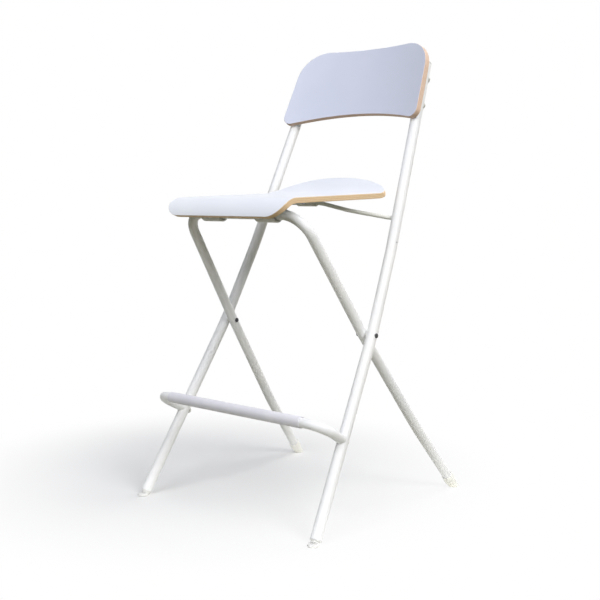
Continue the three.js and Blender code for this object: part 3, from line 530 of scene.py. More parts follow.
def veneer_edge(name, thickness, plies, light, dark, glue):
    """Plywood edge: the UV's height divided by the ply's thickness gives the layer. Odd layers
    show long fibres, even ones short end grain, and a thin dark line is the glue."""
    finish = Finish(name, 0.55, specular=0.15)
    uv = finish.add("ShaderNodeTexCoord").outputs["UV"]
    wander = finish.noise(40.0, detail=3.0, source=finish.scaled(uv, (1, 0.2, 1)))
    split = finish.add("ShaderNodeSeparateXYZ")
    finish.links.new(uv, split.inputs["Vector"])
    layer = finish.math("MULTIPLY_ADD", split.outputs["Y"], plies / (thickness / 1000),
                        finish.ranged(wander, 0.2, 0.8, -0.12, 0.12))
    wood = finish.ramp(finish.math("PINGPONG", layer, 1.0), [
        (0.0, srgb(*dark)), (0.42, srgb(*dark)), (0.58, srgb(*light)), (1.0, srgb(*light))])
    fibres = finish.noise(900.0, detail=4.0, roughness=0.6, source=finish.scaled(uv, (0.12, 1, 1)))
    grain = finish.mixed(finish.ranged(fibres, 0.3, 0.7, 0.0, 0.32), wood, srgb(*glue))
    near_seam = finish.ranged(finish.math("FRACT", layer), 0.0, 0.12, 0.55, 0.0)
    finish.colour(finish.mixed(near_seam, grain, srgb(*glue)))
    finish.roughness(finish.ranged(fibres, 0.3, 0.7, 0.5, 0.66))
    finish.bump(fibres, 0.00012)
    return finish.material


seat_thickness, back_thickness = 11.0, 12.0
finishes |= {
    "seat_laminate": [
        laminate_face("seat laminate", (237, 240, 248), (230, 234, 244)),
        veneer_edge("seat veneers", seat_thickness, 7, (251, 228, 192), (240, 206, 165),
                    (202, 164, 122))],
    # Painted shade: the backrest's laminate is the seat's, made darker and bluer for a face that
    # leans away from the light overhead.
    "back_laminate": [
        laminate_face("back laminate painted shade", (216, 220, 239), (211, 216, 236)),
        veneer_edge("back veneers", back_thickness, 8, (236, 212, 194), (218, 188, 166),
                    (176, 142, 120))]}
print("slots", len(finishes))

# %% [markdown]
# ## The frame's lines
#
# The main tubes run from the front feet, past the crossing and the seat, up to the backrest,
# with two slight bends. The lower bend passes through the crossing pivot, so its corner lies a
# little outside it. The rear frame is one tube bent to a U, and the footrest another.

# %% Axes of the tubes
main_radius, rear_radius, foot_radius = 11.0, 10.0, 9.5
tube_wall, fit_gap, spacer_length = 1.5, 0.3, 2.0
pivot_spread, pivot_depth, pivot_height = 201.6, 212.8, 357.0
rear_pivot_spread = pivot_spread - main_radius - spacer_length - rear_radius
main_bend, rear_bend, shoulder_bend, footrest_bend = 600.0, 900.0, 54.0, 40.0
front_end_height, rear_end_height = 9.0, 13.0
bar_depth, bar_height = 57.0, 592.5
main_floor, main_knee, main_top = (235, 0, 0), (187.6, 293.5, 520), (155.6, 457.5, 902)
rear_floor, rear_knee = (223.6, 482.7, 0), (204.6, 361.1, 150)
rear_shoulder = (154.5, bar_depth, bar_height)
footrest_joint_height, footrest_depth, footrest_height, footrest_spread = 171.6, 30.5, 212.4, 230.5
drain_height, link_height = 534.0, 582.5


def beside(side, spread, depth, height):
    """The place at a spread to one side of the stool's middle."""
    return place(side * spread, depth, height)


def crossing(side, spread=pivot_spread):
    """The place on the crossing pivot's axis at a spread."""
    return beside(side, spread, pivot_depth, pivot_height)


def corner_through(before, through, after, radius):
    """Corner whose arc has its middle at a place: it moves outwards by the radius times one
    over the cosine of half the turn, less one, until it settles."""
    corner = through
    for _ in range(4):
        back, ahead = unit(before - corner), unit(after - corner)
        half = (np.pi - np.arccos(back @ ahead)) / 2
        corner = through + unit(back + ahead) * radius * (1 - 1 / np.cos(half))
    return corner


def main_corners(side):
    """Floor, lower bend, upper bend and top of one main tube's axis."""
    floor, knee, top = (beside(side, *corner) for corner in (main_floor, main_knee, main_top))
    return [floor, corner_through(floor, crossing(side), knee, main_bend), knee, top]


def at_height(low, high, height):
    """The place on a straight line at a height."""
    return low + (high - low) * (height - low[2]) / (high[2] - low[2])


def main_axis(side, height):
    """The place on a main tube's axis at a height, leaving out the rounding of its bends."""
    floor, bend, knee, top = main_corners(side)
    low, high = ((floor, bend) if height < bend[2] else
                 (bend, knee) if height < knee[2] else (knee, top))
    return at_height(low, high, height)


def rear_corners(side):
    """Floor, knee, pivot and shoulder of one leg of the rear frame."""
    return [beside(side, *rear_floor), beside(side, *rear_knee),
            crossing(side, rear_pivot_spread), beside(side, *rear_shoulder)]


def rear_end(side):
    """Where the rear tube ends, a little above the floor."""
    return at_height(*rear_corners(side)[:2], rear_end_height)


joints = {side: main_axis(side, footrest_joint_height) for side in sides.values()}
footrest_corner = {side: beside(side, footrest_spread, footrest_depth, footrest_height)
                   for side in sides.values()}
footrest_arm = {side: unit(footrest_corner[side] - joints[side]) for side in sides.values()}
print("main tube at the seat", main_axis(1, 600).round(1))

# %% [markdown]
# ## Main tubes
#
# A drain hole below the seat lets the coating run out, and it is drilled for real, as are
# the bore for the link rod's bush and the holes for the screws and the pivot, so the wall's
# thickness shows in them. A boolean with round bars does this, because the holes cross the
# tube at odd angles that a grid can't follow.

# %% The backrest's lean, which the screws follow
back_radius, back_base, back_height = 699.0, 776.0, 184.8
back_rows = {"lower": 42.0, "upper": 97.0}
upper_run = main_corners(1)[3] - main_corners(1)[2]
upper_rise, upper_taper = upper_run[1] / upper_run[2], -upper_run[0] / upper_run[2]
back_contact = main_axis(1, back_base + sum(back_rows.values()) / 2)
back_drift = upper_taper * back_contact[0] / back_radius
back_lean = math.acos(back_drift / math.hypot(upper_rise, 1)) - math.atan(1 / upper_rise)
back_up = place(0, math.sin(back_lean), math.cos(back_lean))
back_rearward = place(0, math.cos(back_lean), -math.sin(back_lean))


def back_normal(spread):
    """Rearward direction square to the curved panel: its turn's sine is spread over radius."""
    sine = np.asarray(spread, float)[..., None] / back_radius
    return sine * across + np.sqrt(1 - sine ** 2) * back_rearward


def screw_line(side, rise):
    """Place on the main tube's axis and direction of a backrest screw."""
    start = main_axis(side, back_base + rise)
    return start, back_normal(start[0])


print("backrest leans", round(math.degrees(back_lean), 2), "degrees")

# %% Main tubes
hole_reach = 22
screw_hole, rear_pivot_hole, drain_hole, bush_hole = 3.3, 3.5, 1.8, 5.1


def through_hole(centre, direction, radius):
    """A bar that goes right through a tube."""
    return bar_cutter(centre, direction, radius, -hole_reach, hole_reach)


for word, side in sides.items():
    floor, bend, knee, top = main_corners(side)
    main_line = bent_line([at_height(floor, bend, front_end_height), bend, knee, top],
                          [main_bend, main_bend])
    piece = tube(f"main_tube_{word}_smooth", main_line, main_radius, tube_wall, across)
    outwards, inwards = sorted((0, side * hole_reach)), sorted((0, -side * hole_reach))
    cutters = [through_hole(crossing(side), across, screw_hole),
               through_hole(joints[side], footrest_arm[side], screw_hole),
               bar_cutter(main_axis(side, drain_height), across, drain_hole, *outwards),
               bar_cutter(main_axis(side, link_height), across, bush_hole, *inwards)]
    cutters += [through_hole(*screw_line(side, rise), screw_hole) for rise in back_rows.values()]
    settle(cut(piece, cutters), "main_frame", "coated_tube", f"main_tube_{word}")
print(made[-2:])

# %% [markdown]
# ## Rear frame
#
# One tube bent to a U: its bar turns in the saddles under the seat, its shoulders are tight
# bends, and its legs run back to the floor past the crossing. A single sweep from foot to foot
# keeps it one piece, as it was bent.

# %% Rear frame
right, left = rear_corners(-1), rear_corners(1)
half_bends = [rear_bend, rear_bend, shoulder_bend]
rear_line = bent_line([rear_end(-1), *right[1:], *left[1:][::-1], rear_end(1)],
                      half_bends + half_bends[::-1])
piece = tube("rear_frame_smooth", rear_line, rear_radius, tube_wall, place(0, 0.6, 0.8))
pivots = [through_hole(crossing(side, rear_pivot_spread), across, rear_pivot_hole)
          for side in sides.values()]
settle(cut(piece, pivots), "rear_frame", "coated_tube", "rear_frame_tube")
print(made[-1])

# %% [markdown]
# ## Footrest
#
# A tube bent to a wide U that rises forwards, with its ends cut to a fishmouth against the
# main tubes and drawn up by a screw. A grey sleeve covers the straight bar. The sleeve is a
# ring profile with rounded ends, turned about the bar.

# %% Footrest tube and sleeve
foot_line = bent_line([joints[-1], footrest_corner[-1], footrest_corner[1], joints[1]],
                      [footrest_bend, footrest_bend])
piece = tube("footrest_smooth", foot_line, foot_radius, tube_wall, place(0, 0.4, 0.9))
mouth_reach = 60
mouths = [bar_cutter(joints[side], main_corners(side)[1] - main_corners(side)[0],
                     main_radius + fit_gap, -mouth_reach, mouth_reach, 64)
          for side in sides.values()]
settle(cut(piece, mouths), "main_frame", "coated_tube", "footrest_tube")

half_sleeve, sleeve_wall, edge, bevel, plain_end = 179.0, 1.2, 0.45, 0.4, 4
bore = foot_radius + fit_gap
outside = bore + sleeve_wall
sleeve_lip = corner_arc((outside - edge, half_sleeve - edge), edge, 90, 0)
half_profile = [(bore, half_sleeve - bevel), (bore + 0.1, half_sleeve - 0.15), *sleeve_lip]
sleeve_steps = np.linspace(half_sleeve - plain_end, plain_end - half_sleeve, 45)
sleeve_profile = [*half_profile[1:], *[(outside, height) for height in sleeve_steps],
                  *[(radius, -height) for radius, height in half_profile[::-1]], half_profile[0]]
sleeve = turned("footrest_sleeve_smooth", sleeve_profile,
                place(0, footrest_depth, footrest_height), across, 48, True, crease=50)
settle(sleeve, "main_frame", "footrest_sleeve", "footrest_sleeve")
print(made[-2:])

# %% [markdown]
# ## Moulded panels
#
# The seat and the backrest are plywood pressed in a curved mould and then cut to outline. So
# each is drawn flat first: an outline with rounded corners, and a place function that lays a
# flat point and a depth on the mould. The rim is the outline carried through the thickness,
# with a small round at each face. The faces are straight rulings between the front and the
# rear half of the outline, so every point of them lies on the mould.

# %% A panel from its flat outline
face_insets, seam_width, face_share = (7.0, 3.0), 0.004, 0.28


def rim_profile(thickness, round_edge):
    """Inset and depth pairs from the front face over the rounded edge to the back face."""
    angle = np.radians(np.linspace(0, 90, 5))
    front = [(round_edge * (1 - math.sin(a)), round_edge * (1 - math.cos(a))) for a in angle]
    lead = [(inset, 0.0) for inset in (*face_insets, round_edge * 1.5)]
    depths = np.linspace(round_edge, thickness - round_edge, 8)[1:-1]
    back = [(inset, thickness - depth) for inset, depth in (lead + front)[::-1]]
    return np.array(lead + front + [(0.0, depth) for depth in depths] + back)


def inward(outline):
    """Unit normals of a closed flat outline that runs anticlockwise, pointing inwards."""
    along = np.roll(outline, -1, 0) - np.roll(outline, 1, 0)
    return unit(np.stack([-along[:, 1], along[:, 0]], -1))


def rim_quads(index, outline, profile, thickness, round_edge):
    """Quads of the rim, with their UVs and slots. U is the way along the outline and V the depth,
    in metres. The first share of each rounded edge still counts as face."""
    quads, around, depth = ring_quads(index), len(outline), profile[:, 1]
    row, column = np.divmod(quads, around)
    travel = np.append(0, np.cumsum(np.linalg.norm(np.diff(outline, axis=0), axis=1))) / 1000
    wrapped = np.where((column == 0) & (column[:, :1] == around - 1), travel[-1] + seam_width,
                       travel[column])
    band_edge = round_edge * face_share
    edge_band = (depth[row[:, 0]] >= band_edge) & (depth[row[:, 2]] <= thickness - band_edge)
    return quads, np.stack([wrapped, depth[row] / 1000], -1), edge_band.astype(int)


def face_grid(ring, ids, columns, rows, first):
    """Flat points inside a face, and the grid of all its point numbers. An inner point is its
    ruling's low end plus a share of the way to its high end. The high ends start at second."""
    second = columns + rows - 1
    low, high = ring[:columns], ring[second:second + columns][::-1]
    share = np.linspace(0, 1, rows + 1)[1:-1, None, None]
    inner = low[None, 1:-1] + share * (high[None, 1:-1] - low[None, 1:-1])
    grid = np.empty((rows + 1, columns), int)
    grid[0], grid[-1] = ids[:columns], ids[second:second + columns][::-1]
    grid[1:-1, -1], grid[1:-1, 0] = ids[columns:second], ids[second + columns:][::-1]
    grid[1:-1, 1:-1] = first + np.arange(inner[..., 0].size).reshape(inner.shape[:2])
    return inner, grid


def panel(name, low, high, lay, thickness, rows, round_edge=0.9):
    """Low and high are the lower and upper halves of the flat outline, as many points each, from
    left to right, and lay() puts (sideways, along, depth) on the mould. Faces take slot 0, the
    veneer edge slot 1."""
    share = np.linspace(0, 1, rows + 1)[1:-1, None]
    right_side = low[-1] + share * (high[-1] - low[-1])
    left_side = high[0] + share * (low[0] - high[0])
    outline = np.vstack([low, right_side, high[::-1], left_side])
    profile = rim_profile(thickness, round_edge)
    flat = outline[None] + profile[:, :1, None] * inward(outline)[None]
    rim = lay(flat[..., 0], flat[..., 1], np.broadcast_to(profile[:, 1:], flat.shape[:2]))
    index = np.arange(len(profile) * len(outline)).reshape(len(profile), len(outline))
    points = rim.reshape(-1, 3)
    faces, uvs, slots = ([item] for item in
                         rim_quads(index, outline, profile, thickness, round_edge))
    for ring, depth, way in ((0, 0.0, -1), (-1, thickness, 1)):
        inner, grid = face_grid(flat[ring], index[ring], len(low), rows, len(points))
        laid = lay(inner[..., 0], inner[..., 1], np.full(inner.shape[:2], depth))
        points = np.vstack([points, laid.reshape(-1, 3)])
        faces.append(sheet_quads(grid)[:, ::way])
        uvs.append(np.zeros((len(faces[-1]), 4, 2)))
        slots.append(np.zeros(len(faces[-1]), int))
    turned_over = enclosed_volume(points - points.mean(0), faces) < 0
    piece = make_mesh(name, points, faces, crease=60)
    uv = np.concatenate(uvs)[:, ::-1 if turned_over else 1]
    layer = piece.data.uv_layers.new(name="veneer")
    layer.data.foreach_set("uv", uv.astype(np.float32).ravel())
    piece.data.polygons.foreach_set("material_index", np.concatenate(slots).astype(np.int32))
    piece.data.update()
    return piece


def rounded(before, corner, after, radius, steps=18):
    """Flat arc that rounds a corner, in a set number of steps."""
    lift = [place(*point, 0) for point in (before, corner, after)]
    turn = np.pi - np.arccos(np.clip(unit(lift[0] - lift[1]) @ unit(lift[2] - lift[1]), -1, 1))
    arc = arc_between(*lift, radius, np.degrees(turn) / steps + 1e-9)
    return arc[:, :2]


print("panel maker ready")

# %% [markdown]
# ### Backrest
#
# It is bent about an upright axis, with big rounded upper corners and an arched lower edge.
# The veneers show as a tan line along its near side and below.

# %% Backrest
def set_forward(spread):
    """How far the curved panel's middle lies behind a place on it: radius less the square root
    of radius squared less spread squared."""
    return back_radius - np.sqrt(back_radius ** 2 - spread ** 2)


tube_reach = (main_radius + fit_gap) / math.cos(math.asin(back_contact[0] / back_radius))
back_middle = (back_contact @ back_rearward - tube_reach - back_thickness
               + set_forward(back_contact[0]))
back_low = (back_base + back_middle * math.sin(back_lean)) / math.cos(back_lean)


def lay_back(spread, rise, depth):
    """The panel's middle line plus rise, less the curve's set-forward, plus depth on the
    normal."""
    return (spread[..., None] * across + (back_low + rise)[..., None] * back_up
            + (back_middle - set_forward(spread))[..., None] * back_rearward
            + depth[..., None] * back_normal(spread))


arch_rise, low_half_width, top_half_width, crown_height = 29.8, 183.7, 169.4, 186.1
low_round, top_round, arch_share = 16.2, 71.0, 0.85


def arch(spread):
    """Lower edge: a parabola that is highest in the middle."""
    return arch_rise * (1 - (spread / low_half_width) ** 2)


def mirrored(half):
    """A half outline from the middle outwards, with its mirror image before it."""
    return np.vstack([(half * (-1, 1))[:0:-1], half])


bottom_corner, top_corner = (low_half_width, 0.0), (top_half_width, back_height)
crown = (0.0, crown_height)
arch_end = (low_half_width * arch_share, float(arch(low_half_width * arch_share)))
low_bend = rounded(arch_end, bottom_corner, top_corner, low_round)
high_bend = rounded(crown, top_corner, bottom_corner, top_round)
middle_steps = np.linspace(0, 1, 41)[:-1]
low_middle = middle_steps * low_bend[0, 0]
low_half = np.vstack([np.stack([low_middle, arch(low_middle)], -1), low_bend])
high_middle = crown + middle_steps[:, None] * (high_bend[0] - crown)
high_half = np.vstack([high_middle, high_bend])
backrest = panel("backrest_laminated", mirrored(low_half), mirrored(high_half), lay_back,
                 back_thickness, 36)
settle(backrest, "main_frame", "back_laminate", "backrest_panel")
print(made[-1])

# %% [markdown]
# ### Seat
#
# The blank is bent along its length: the front rolls down to a lip, the middle is nearly level
# and the rear turns up. A point's distance along the blank says which of the three it is on.

# %% Seat
seat_half = 156.0
lip_radius, lip_angle, flat_length = 52.5, math.radians(69), 249.0
rise_radius, rise_angle, seat_slope = 91.0, math.radians(49), math.radians(1.8)
lip_length = lip_radius * lip_angle
rise_start = lip_length + flat_length
seat_length = rise_start + rise_radius * rise_angle
seat_ahead = place(0, math.cos(seat_slope), math.sin(seat_slope))
seat_up = place(0, -math.sin(seat_slope), math.cos(seat_slope))
seat_crest = place(0, 44.6, 624.6)


def lay_seat(spread, along, depth):
    """The mould's line: an arc down before the crest, a straight run, and an arc up behind. The
    depth goes down, square to the line's slope there."""
    lip = np.maximum(0, lip_length - along) / lip_radius
    rise = np.maximum(0, along - rise_start) / rise_radius
    level = np.clip(along - lip_length, 0, flat_length)
    slope = rise + lip
    ahead = level - lip_radius * np.sin(lip) + rise_radius * np.sin(rise) + depth * np.sin(slope)
    above = (rise_radius * (1 - np.cos(rise)) - lip_radius * (1 - np.cos(lip))
             - depth * np.cos(slope))
    return (seat_crest + spread[..., None] * across + ahead[..., None] * seat_ahead
            + above[..., None] * seat_up)


def underside(depth):
    """Height of the seat's underside over a depth of the stool, on its level part."""
    along = lip_length + (depth - seat_crest[1]) / math.cos(seat_slope)
    return float(lay_seat(np.zeros(1), np.array([along]), np.array([seat_thickness]))[0, 2])


front_corner, rear_reach, rear_fullness = 37.0, 73.0, 2.2
quarter = np.linspace(0, np.pi / 2, 19)
front_half = np.vstack([
    np.stack([middle_steps * (seat_half - front_corner), middle_steps * 0], -1),
    np.stack([seat_half - front_corner + front_corner * np.sin(quarter),
              front_corner * (1 - np.cos(quarter))], -1)])
# The rear is a superellipse: x and y, each over its reach and to one power, add up to one
rear_share = 1 - (1 - (front_half[:, 0] / seat_half) ** rear_fullness) ** (1 / rear_fullness)
rear_half = np.stack([front_half[:, 0], seat_length - rear_reach * rear_share], -1)
seat = panel("seat_laminated", mirrored(front_half), mirrored(rear_half), lay_seat,
             seat_thickness, 84)
settle(seat, "seat", "seat_laminate", "seat_panel")
print(made[-1])

# %% [markdown]
# ## Feet
#
# A front foot is moulded in one: a stem in the tube, a collar against its end, a neck and an
# oval pad that stands flat. The pad is an ellipse whose edge is rounded over. A rear foot is a
# cup round the tube's end. Its walls follow the leg, and the floor cuts them off flat, so each
# generator of the cup is followed down to the floor.

# %% Front feet
def front_foot(word, side):
    """Pad: ellipse times a rounded profile of shares and heights. Stem and neck: a turned form
    about the tube's axis, whose lowest ring is laid in the pad."""
    floor, bend = main_corners(side)[:2]
    up = unit(bend - floor)
    end = at_height(floor, bend, front_end_height)
    half_width, half_length, forward, around = 11, 12, 4, 56
    shoulder, crown_rise, sole_edge, sole_tuck, crown_tuck = 2.4, 3.1, 1.1, 0.09, 0.24
    pad_height = shoulder + crown_rise
    pad_middle = place(floor[0], floor[1] - forward + up[1] * pad_height / 2, 0)
    angle = np.linspace(0, 2 * np.pi, around, endpoint=False)
    oval = np.stack([half_width * np.cos(angle), half_length * np.sin(angle)], -1)
    round_over = [(1 - sole_tuck * (1 - math.sin(a)), sole_edge * (1 - math.cos(a)))
                  for a in np.radians(np.linspace(0, 90, 5))]
    crown = [(1 - crown_tuck * (1 - math.cos(a)), shoulder + crown_rise * math.sin(a))
             for a in np.radians(np.linspace(0, 90, 9))]
    shares = np.array([(0.5, 0.0), *round_over, *crown, (0.6, pad_height)])
    heights = np.broadcast_to(shares[:, 1:, None], (len(shares), around, 1))
    rings = np.concatenate([shares[:, :1, None] * oval[None], heights], -1)
    pad = make_mesh(f"front_foot_pad_{word}", *skin(pad_middle + rings))
    neck, stem, buried = 8.5, 9.2, 4.0 - np.linalg.norm(end - floor)
    collar, collar_edge, stem_end, stem_lead = 10.6, 0.4, 26, 1.5
    profile = [(neck * 0.6, buried), (neck * 0.8, buried + 0.2), (neck, buried + 1.2),
               (neck, -2.6), (neck + 0.4, -1.6), *corner_arc((collar, -1.1), collar_edge, -90, 0),
               *corner_arc((collar, -0.7), collar_edge, 0, 90), (stem, -0.3),
               (stem, stem_end - stem_lead), (stem - 0.8, stem_end)]
    foot = cut(pad, [turned("stem", profile, end, up, 40)], "UNION", 40)
    settle(foot, "main_frame", "white_plastic", f"front_foot_{word}")


for word, side in sides.items():
    front_foot(word, side)
print(made[-2:])

# %% Rear feet
def rear_foot(word, side):
    """Cup: each generator runs down the leg and narrows to the sole's radius. It meets the floor
    where its place less the direction times its height over the direction's rise is level."""
    end, up = rear_end(side), unit(rear_corners(side)[1] - rear_corners(side)[0])
    cup_wall, grip, flare, sole_radius, around = 1.6, 21.0, 5.0, 10.0, 48
    rolled_height, rolled_rings = 0.8, ((0.985, 0.3), (0.95, 0), (0.4, 0))
    bore, rim = rear_radius + fit_gap, cup_wall / 2
    outer = bore + cup_wall
    profile = [(bore * 0.5, -fit_gap), (bore, -fit_gap), (bore, grip - rim / 2),
               *corner_arc((bore + rim, grip - rim), rim, 180, 0, 8), (outer, 12), (outer, 6)]
    profile += [(outer + (sole_radius - outer) * (1 - math.cos(math.pi * t)) / 2,
                 flare * (1 - 2 * t)) for t in np.linspace(0, 1, 13)]
    upper = lathe_rings(profile, end, up, around)
    upper = upper[upper[:, :, 2].min(axis=1) > rolled_height]
    narrow = lathe_rings([(sole_radius, 0)], end, up, around)[0]
    sole = narrow - (narrow[:, 2] / up[2])[:, None] * up
    middle = sole.mean(0)
    rolled = np.stack([middle + (sole - middle) * share + (0, 0, lift)
                       for share, lift in rolled_rings])
    cup = skin(np.concatenate([upper, rolled]))
    settle(make_mesh(f"rear_foot_{word}_smooth", *cup, crease=45), "rear_frame", "cream_plastic",
           f"rear_foot_{word}")


for word, side in sides.items():
    rear_foot(word, side)
print(made[-2:])

# %% [markdown]
# ## Crossing pivots and caps
#
# The frames turn on rivets with domed heads. A rivet's outer head sits on the round tube, so
# its skirt follows the tube: each point of the rim is let down to the tube's surface, which
# falls by the radius less the square root of radius squared less offset squared.

# %% Rivets
rivet_head_radius, rivet_radius, outer_dome, inner_dome = 4.8, 3.0, 2.208, 1.8
dome_lift, skirt_gap, rim_round, head_clearance, outer_end = 0.35, 0.05, 0.5, 0.56, -10.4
inner_face = pivot_spread - rear_pivot_spread + rear_radius + fit_gap + head_clearance


def rivet_head(centre, direction, tube_axis):
    """Dome: an arc of the head's radius and height over a skirt that follows the tube."""
    dome = [(rivet_head_radius * math.sin(a), main_radius + dome_lift + outer_dome * math.cos(a))
            for a in np.radians(np.linspace(8, 90, 9))]
    rings = lathe_rings(dome, centre, direction, 40)
    run = unit(tube_axis)
    offset = (rings[-1] - centre) - ((rings[-1] - centre) @ direction)[:, None] * direction
    away = np.linalg.norm(offset - (offset @ run)[:, None] * run, axis=1)
    level = (np.sqrt(main_radius ** 2 - away ** 2) + skirt_gap)[:, None] * direction
    ends = [(centre + offset * share + level)[None] for share in (1, 0.45)]
    return skin(np.concatenate([rings, *ends]))


for word, side in sides.items():
    centre, (floor, _, knee, _) = crossing(side), main_corners(side)
    head = make_mesh(f"pivot_rivet_{word}_outer", *rivet_head(centre, across * side, knee - floor))
    settle(head, "main_frame", "dark_rivet")
    profile = [(2.0, outer_end), (rivet_radius, outer_end), (rivet_radius, inner_face - 0.1),
               *corner_arc((rivet_head_radius - rim_round, inner_face + rim_round), rim_round,
                           -90, 0, 3),
               *[(rivet_head_radius * math.cos(a), inner_face + 0.6 + inner_dome * math.sin(a))
                 for a in np.radians(np.linspace(8, 84, 8))]]
    shank = turned(f"pivot_rivet_{word}_inner", profile, centre, across * -side, 40)
    settle(shank, "main_frame", "dark_rivet", f"pivot_rivet_{word}")
print(made[-4:])

# %% Caps in the tubes' upper ends
for word, side in sides.items():
    knee, top = main_corners(side)[2:]
    plug, plug_end, seat_gap, rim, dome, crown = 9.2, -12, 0.3, 0.4, 2.0, 4.4
    profile = [(7.5, plug_end), (9.0, plug_end + 1), (plug, plug_end + 3), (plug, seat_gap),
               *corner_arc((main_radius - rim, seat_gap + rim), rim, -90, 0, 3),
               *corner_arc((main_radius - dome, dome), dome, 0, 90, 6), (6.0, crown - 0.15),
               (2.5, crown)]
    cap = turned(f"tube_cap_{word}_smooth", profile, top, top - knee, 40)
    settle(cap, "main_frame", "white_plastic", f"tube_cap_{word}")
print(made[-2:])

# %% [markdown]
# ## Screws
#
# The backrest, the footrest, the saddles and the rod clamps are held by pan-head
# screws with a hexagonal socket. The socket's wall is a hexagon: its radius is the flat's
# distance over the cosine of the angle from the nearest flat. One function makes them all, from
# the head's and the shank's sizes.

# %% Screws
def socket_shape(around):
    """Factor on the radius that turns a circle into a hexagon of the same flat distance."""
    angle = np.linspace(0, 2 * np.pi, around, endpoint=False)
    return 1 / np.cos((angle + np.pi / 6) % (np.pi / 3) - np.pi / 6)


def pan_screw(node, centre, direction, sizes, head_at, tip, body, slot="zinc_fastener"):
    """Head below head_at with a rounded top and a hexagonal socket, and a shank to the tip. The
    sizes are the shank's and the head's radius and the head's height."""
    shank, head, height = sizes
    around, flat, socket_floor = 36, head * 0.42, head_at - height * 0.45
    head_edge, fillet, point = 0.25, 0.3, 0.8
    rings = [(flat * 0.3, socket_floor, 1), (flat, socket_floor, 1),
             (flat, head_at - height * 0.98, 1), (flat * 1.12, head_at - height, 0)]
    rings += [(head * (0.72 + 0.28 * math.sin(a)),
               head_at - height * (0.35 + 0.65 * math.cos(a)), 0)
              for a in np.radians(np.linspace(10, 90, 7))]
    rings += [(head, head_at - head_edge, 0), (head - head_edge, head_at, 0),
              (shank + fillet, head_at, 0), (shank, head_at + fillet, 0),
              (shank, tip - point, 0), (shank - point, tip, 0)]
    table = np.array(rings)
    shapes = 1 + table[:, 2:] * (socket_shape(around)[None] - 1)
    piece = turned(f"{node}_detailed", table[:, :2], centre, direction, around, shapes=shapes)
    settle(piece, body, slot, node)


frame_screw, footrest_reach, backrest_reach = (3, 6, 3.6), 16, 8.7
on_tube = -math.hypot(main_radius, frame_screw[0])
for word, side in sides.items():
    pan_screw(f"footrest_screw_{word}", joints[side], footrest_arm[side], frame_screw, on_tube,
              main_radius + footrest_reach, "main_frame", "coated_fastener")
    for row, rise in back_rows.items():
        start, normal = screw_line(side, rise)
        pan_screw(f"backrest_screw_{row}_{word}", start, -normal, frame_screw, on_tube,
                  main_radius + fit_gap + backrest_reach, "main_frame", "coated_fastener")
print(made[-6:])

# %% [markdown]
# ## Saddles, clamps and the link rod
#
# Under the seat, two-part plastic saddles hold the rear frame's bar, and two straps hold the
# link rod. Both are the same outline all across, so a closed outline is carried sideways, with
# its ends drawn in to round their edges.

# %% Outlines carried sideways
def carried(name, outline, middle, length, round_edge=1.2):
    """Closed side-view outline of depth and height pairs, carried sideways: at each end its rings
    are inset by one less the sine, and set back by one less the cosine, of the edge's angle."""
    outline = np.asarray(outline, float)
    area = np.sum(outline[:, 0] * np.roll(outline[:, 1], -1) - np.roll(outline[:, 0], -1)
                  * outline[:, 1])
    outline = outline if area > 0 else outline[::-1]
    before, after = unit(outline - np.roll(outline, 1, 0)), unit(np.roll(outline, -1, 0) - outline)
    normals = [np.stack([-edge[:, 1], edge[:, 0]], -1) for edge in (before, after)]
    miter = unit(normals[0] + normals[1])
    miter /= np.maximum(0.5, (miter * normals[0]).sum(1))[:, None]
    angle = np.radians(np.linspace(0, 90, 5))
    profile = [(round_edge * (1 - math.sin(a)), -length / 2 + round_edge * (1 - math.cos(a)))
               for a in angle]
    profile = np.array(profile + [(inset, -x) for inset, x in profile[::-1]])
    flat = outline[None] + profile[:, :1, None] * miter[None]
    rings = np.concatenate([np.broadcast_to(profile[:, 1:, None] + middle, (*flat.shape[:2], 1)),
                            flat], -1)
    count, around = rings.shape[:2]
    index = np.arange(count * around).reshape(count, around)
    return make_mesh(name, rings.reshape(-1, 3), [ring_quads(index), index[:1, ::-1], index[-1:]])


print("carrier ready")

# %% Saddles
ends = {"front": -1, "rear": 1}
strap_spread, screw_grip, turning_gap, hole_heights = 73, 8, 0.5, (500, 700)
saddle_half, saddle_length, saddle_wall, saddle_row = 26, 50, 5.0, 19
saddle_hole, saddle_screw, edge_cut, flange_cut = 2.8, (2.5, 4.5, 2.6), 0.6, 1.4
bar, saddle_bore = (bar_depth, bar_height), rear_radius + turning_gap
block_bottom, cap_top = bar_height + fit_gap / 2, bar_height - fit_gap / 2
under_line = lay_seat(np.zeros(200), np.linspace(0, lip_length + 80, 200),
                      np.full(200, seat_thickness + fit_gap))
bore_start = math.degrees(math.asin((block_bottom - bar_height) / saddle_bore))
ring, flange = saddle_bore + saddle_wall, cap_top - saddle_wall
ring_start = math.degrees(math.asin((bar_height - flange) / ring))


def about_bar(*corners):
    """Outline points from their offsets behind the bar and their heights."""
    return [(bar_depth + offset, height) for offset, height in corners]


def strap_holes(side, depth, row, radius):
    """Two upright bars, a row's distance before and behind a depth."""
    return [bar_cutter(beside(side, strap_spread, depth + way * row, 0), upright, radius,
                       *hole_heights) for way in ends.values()]


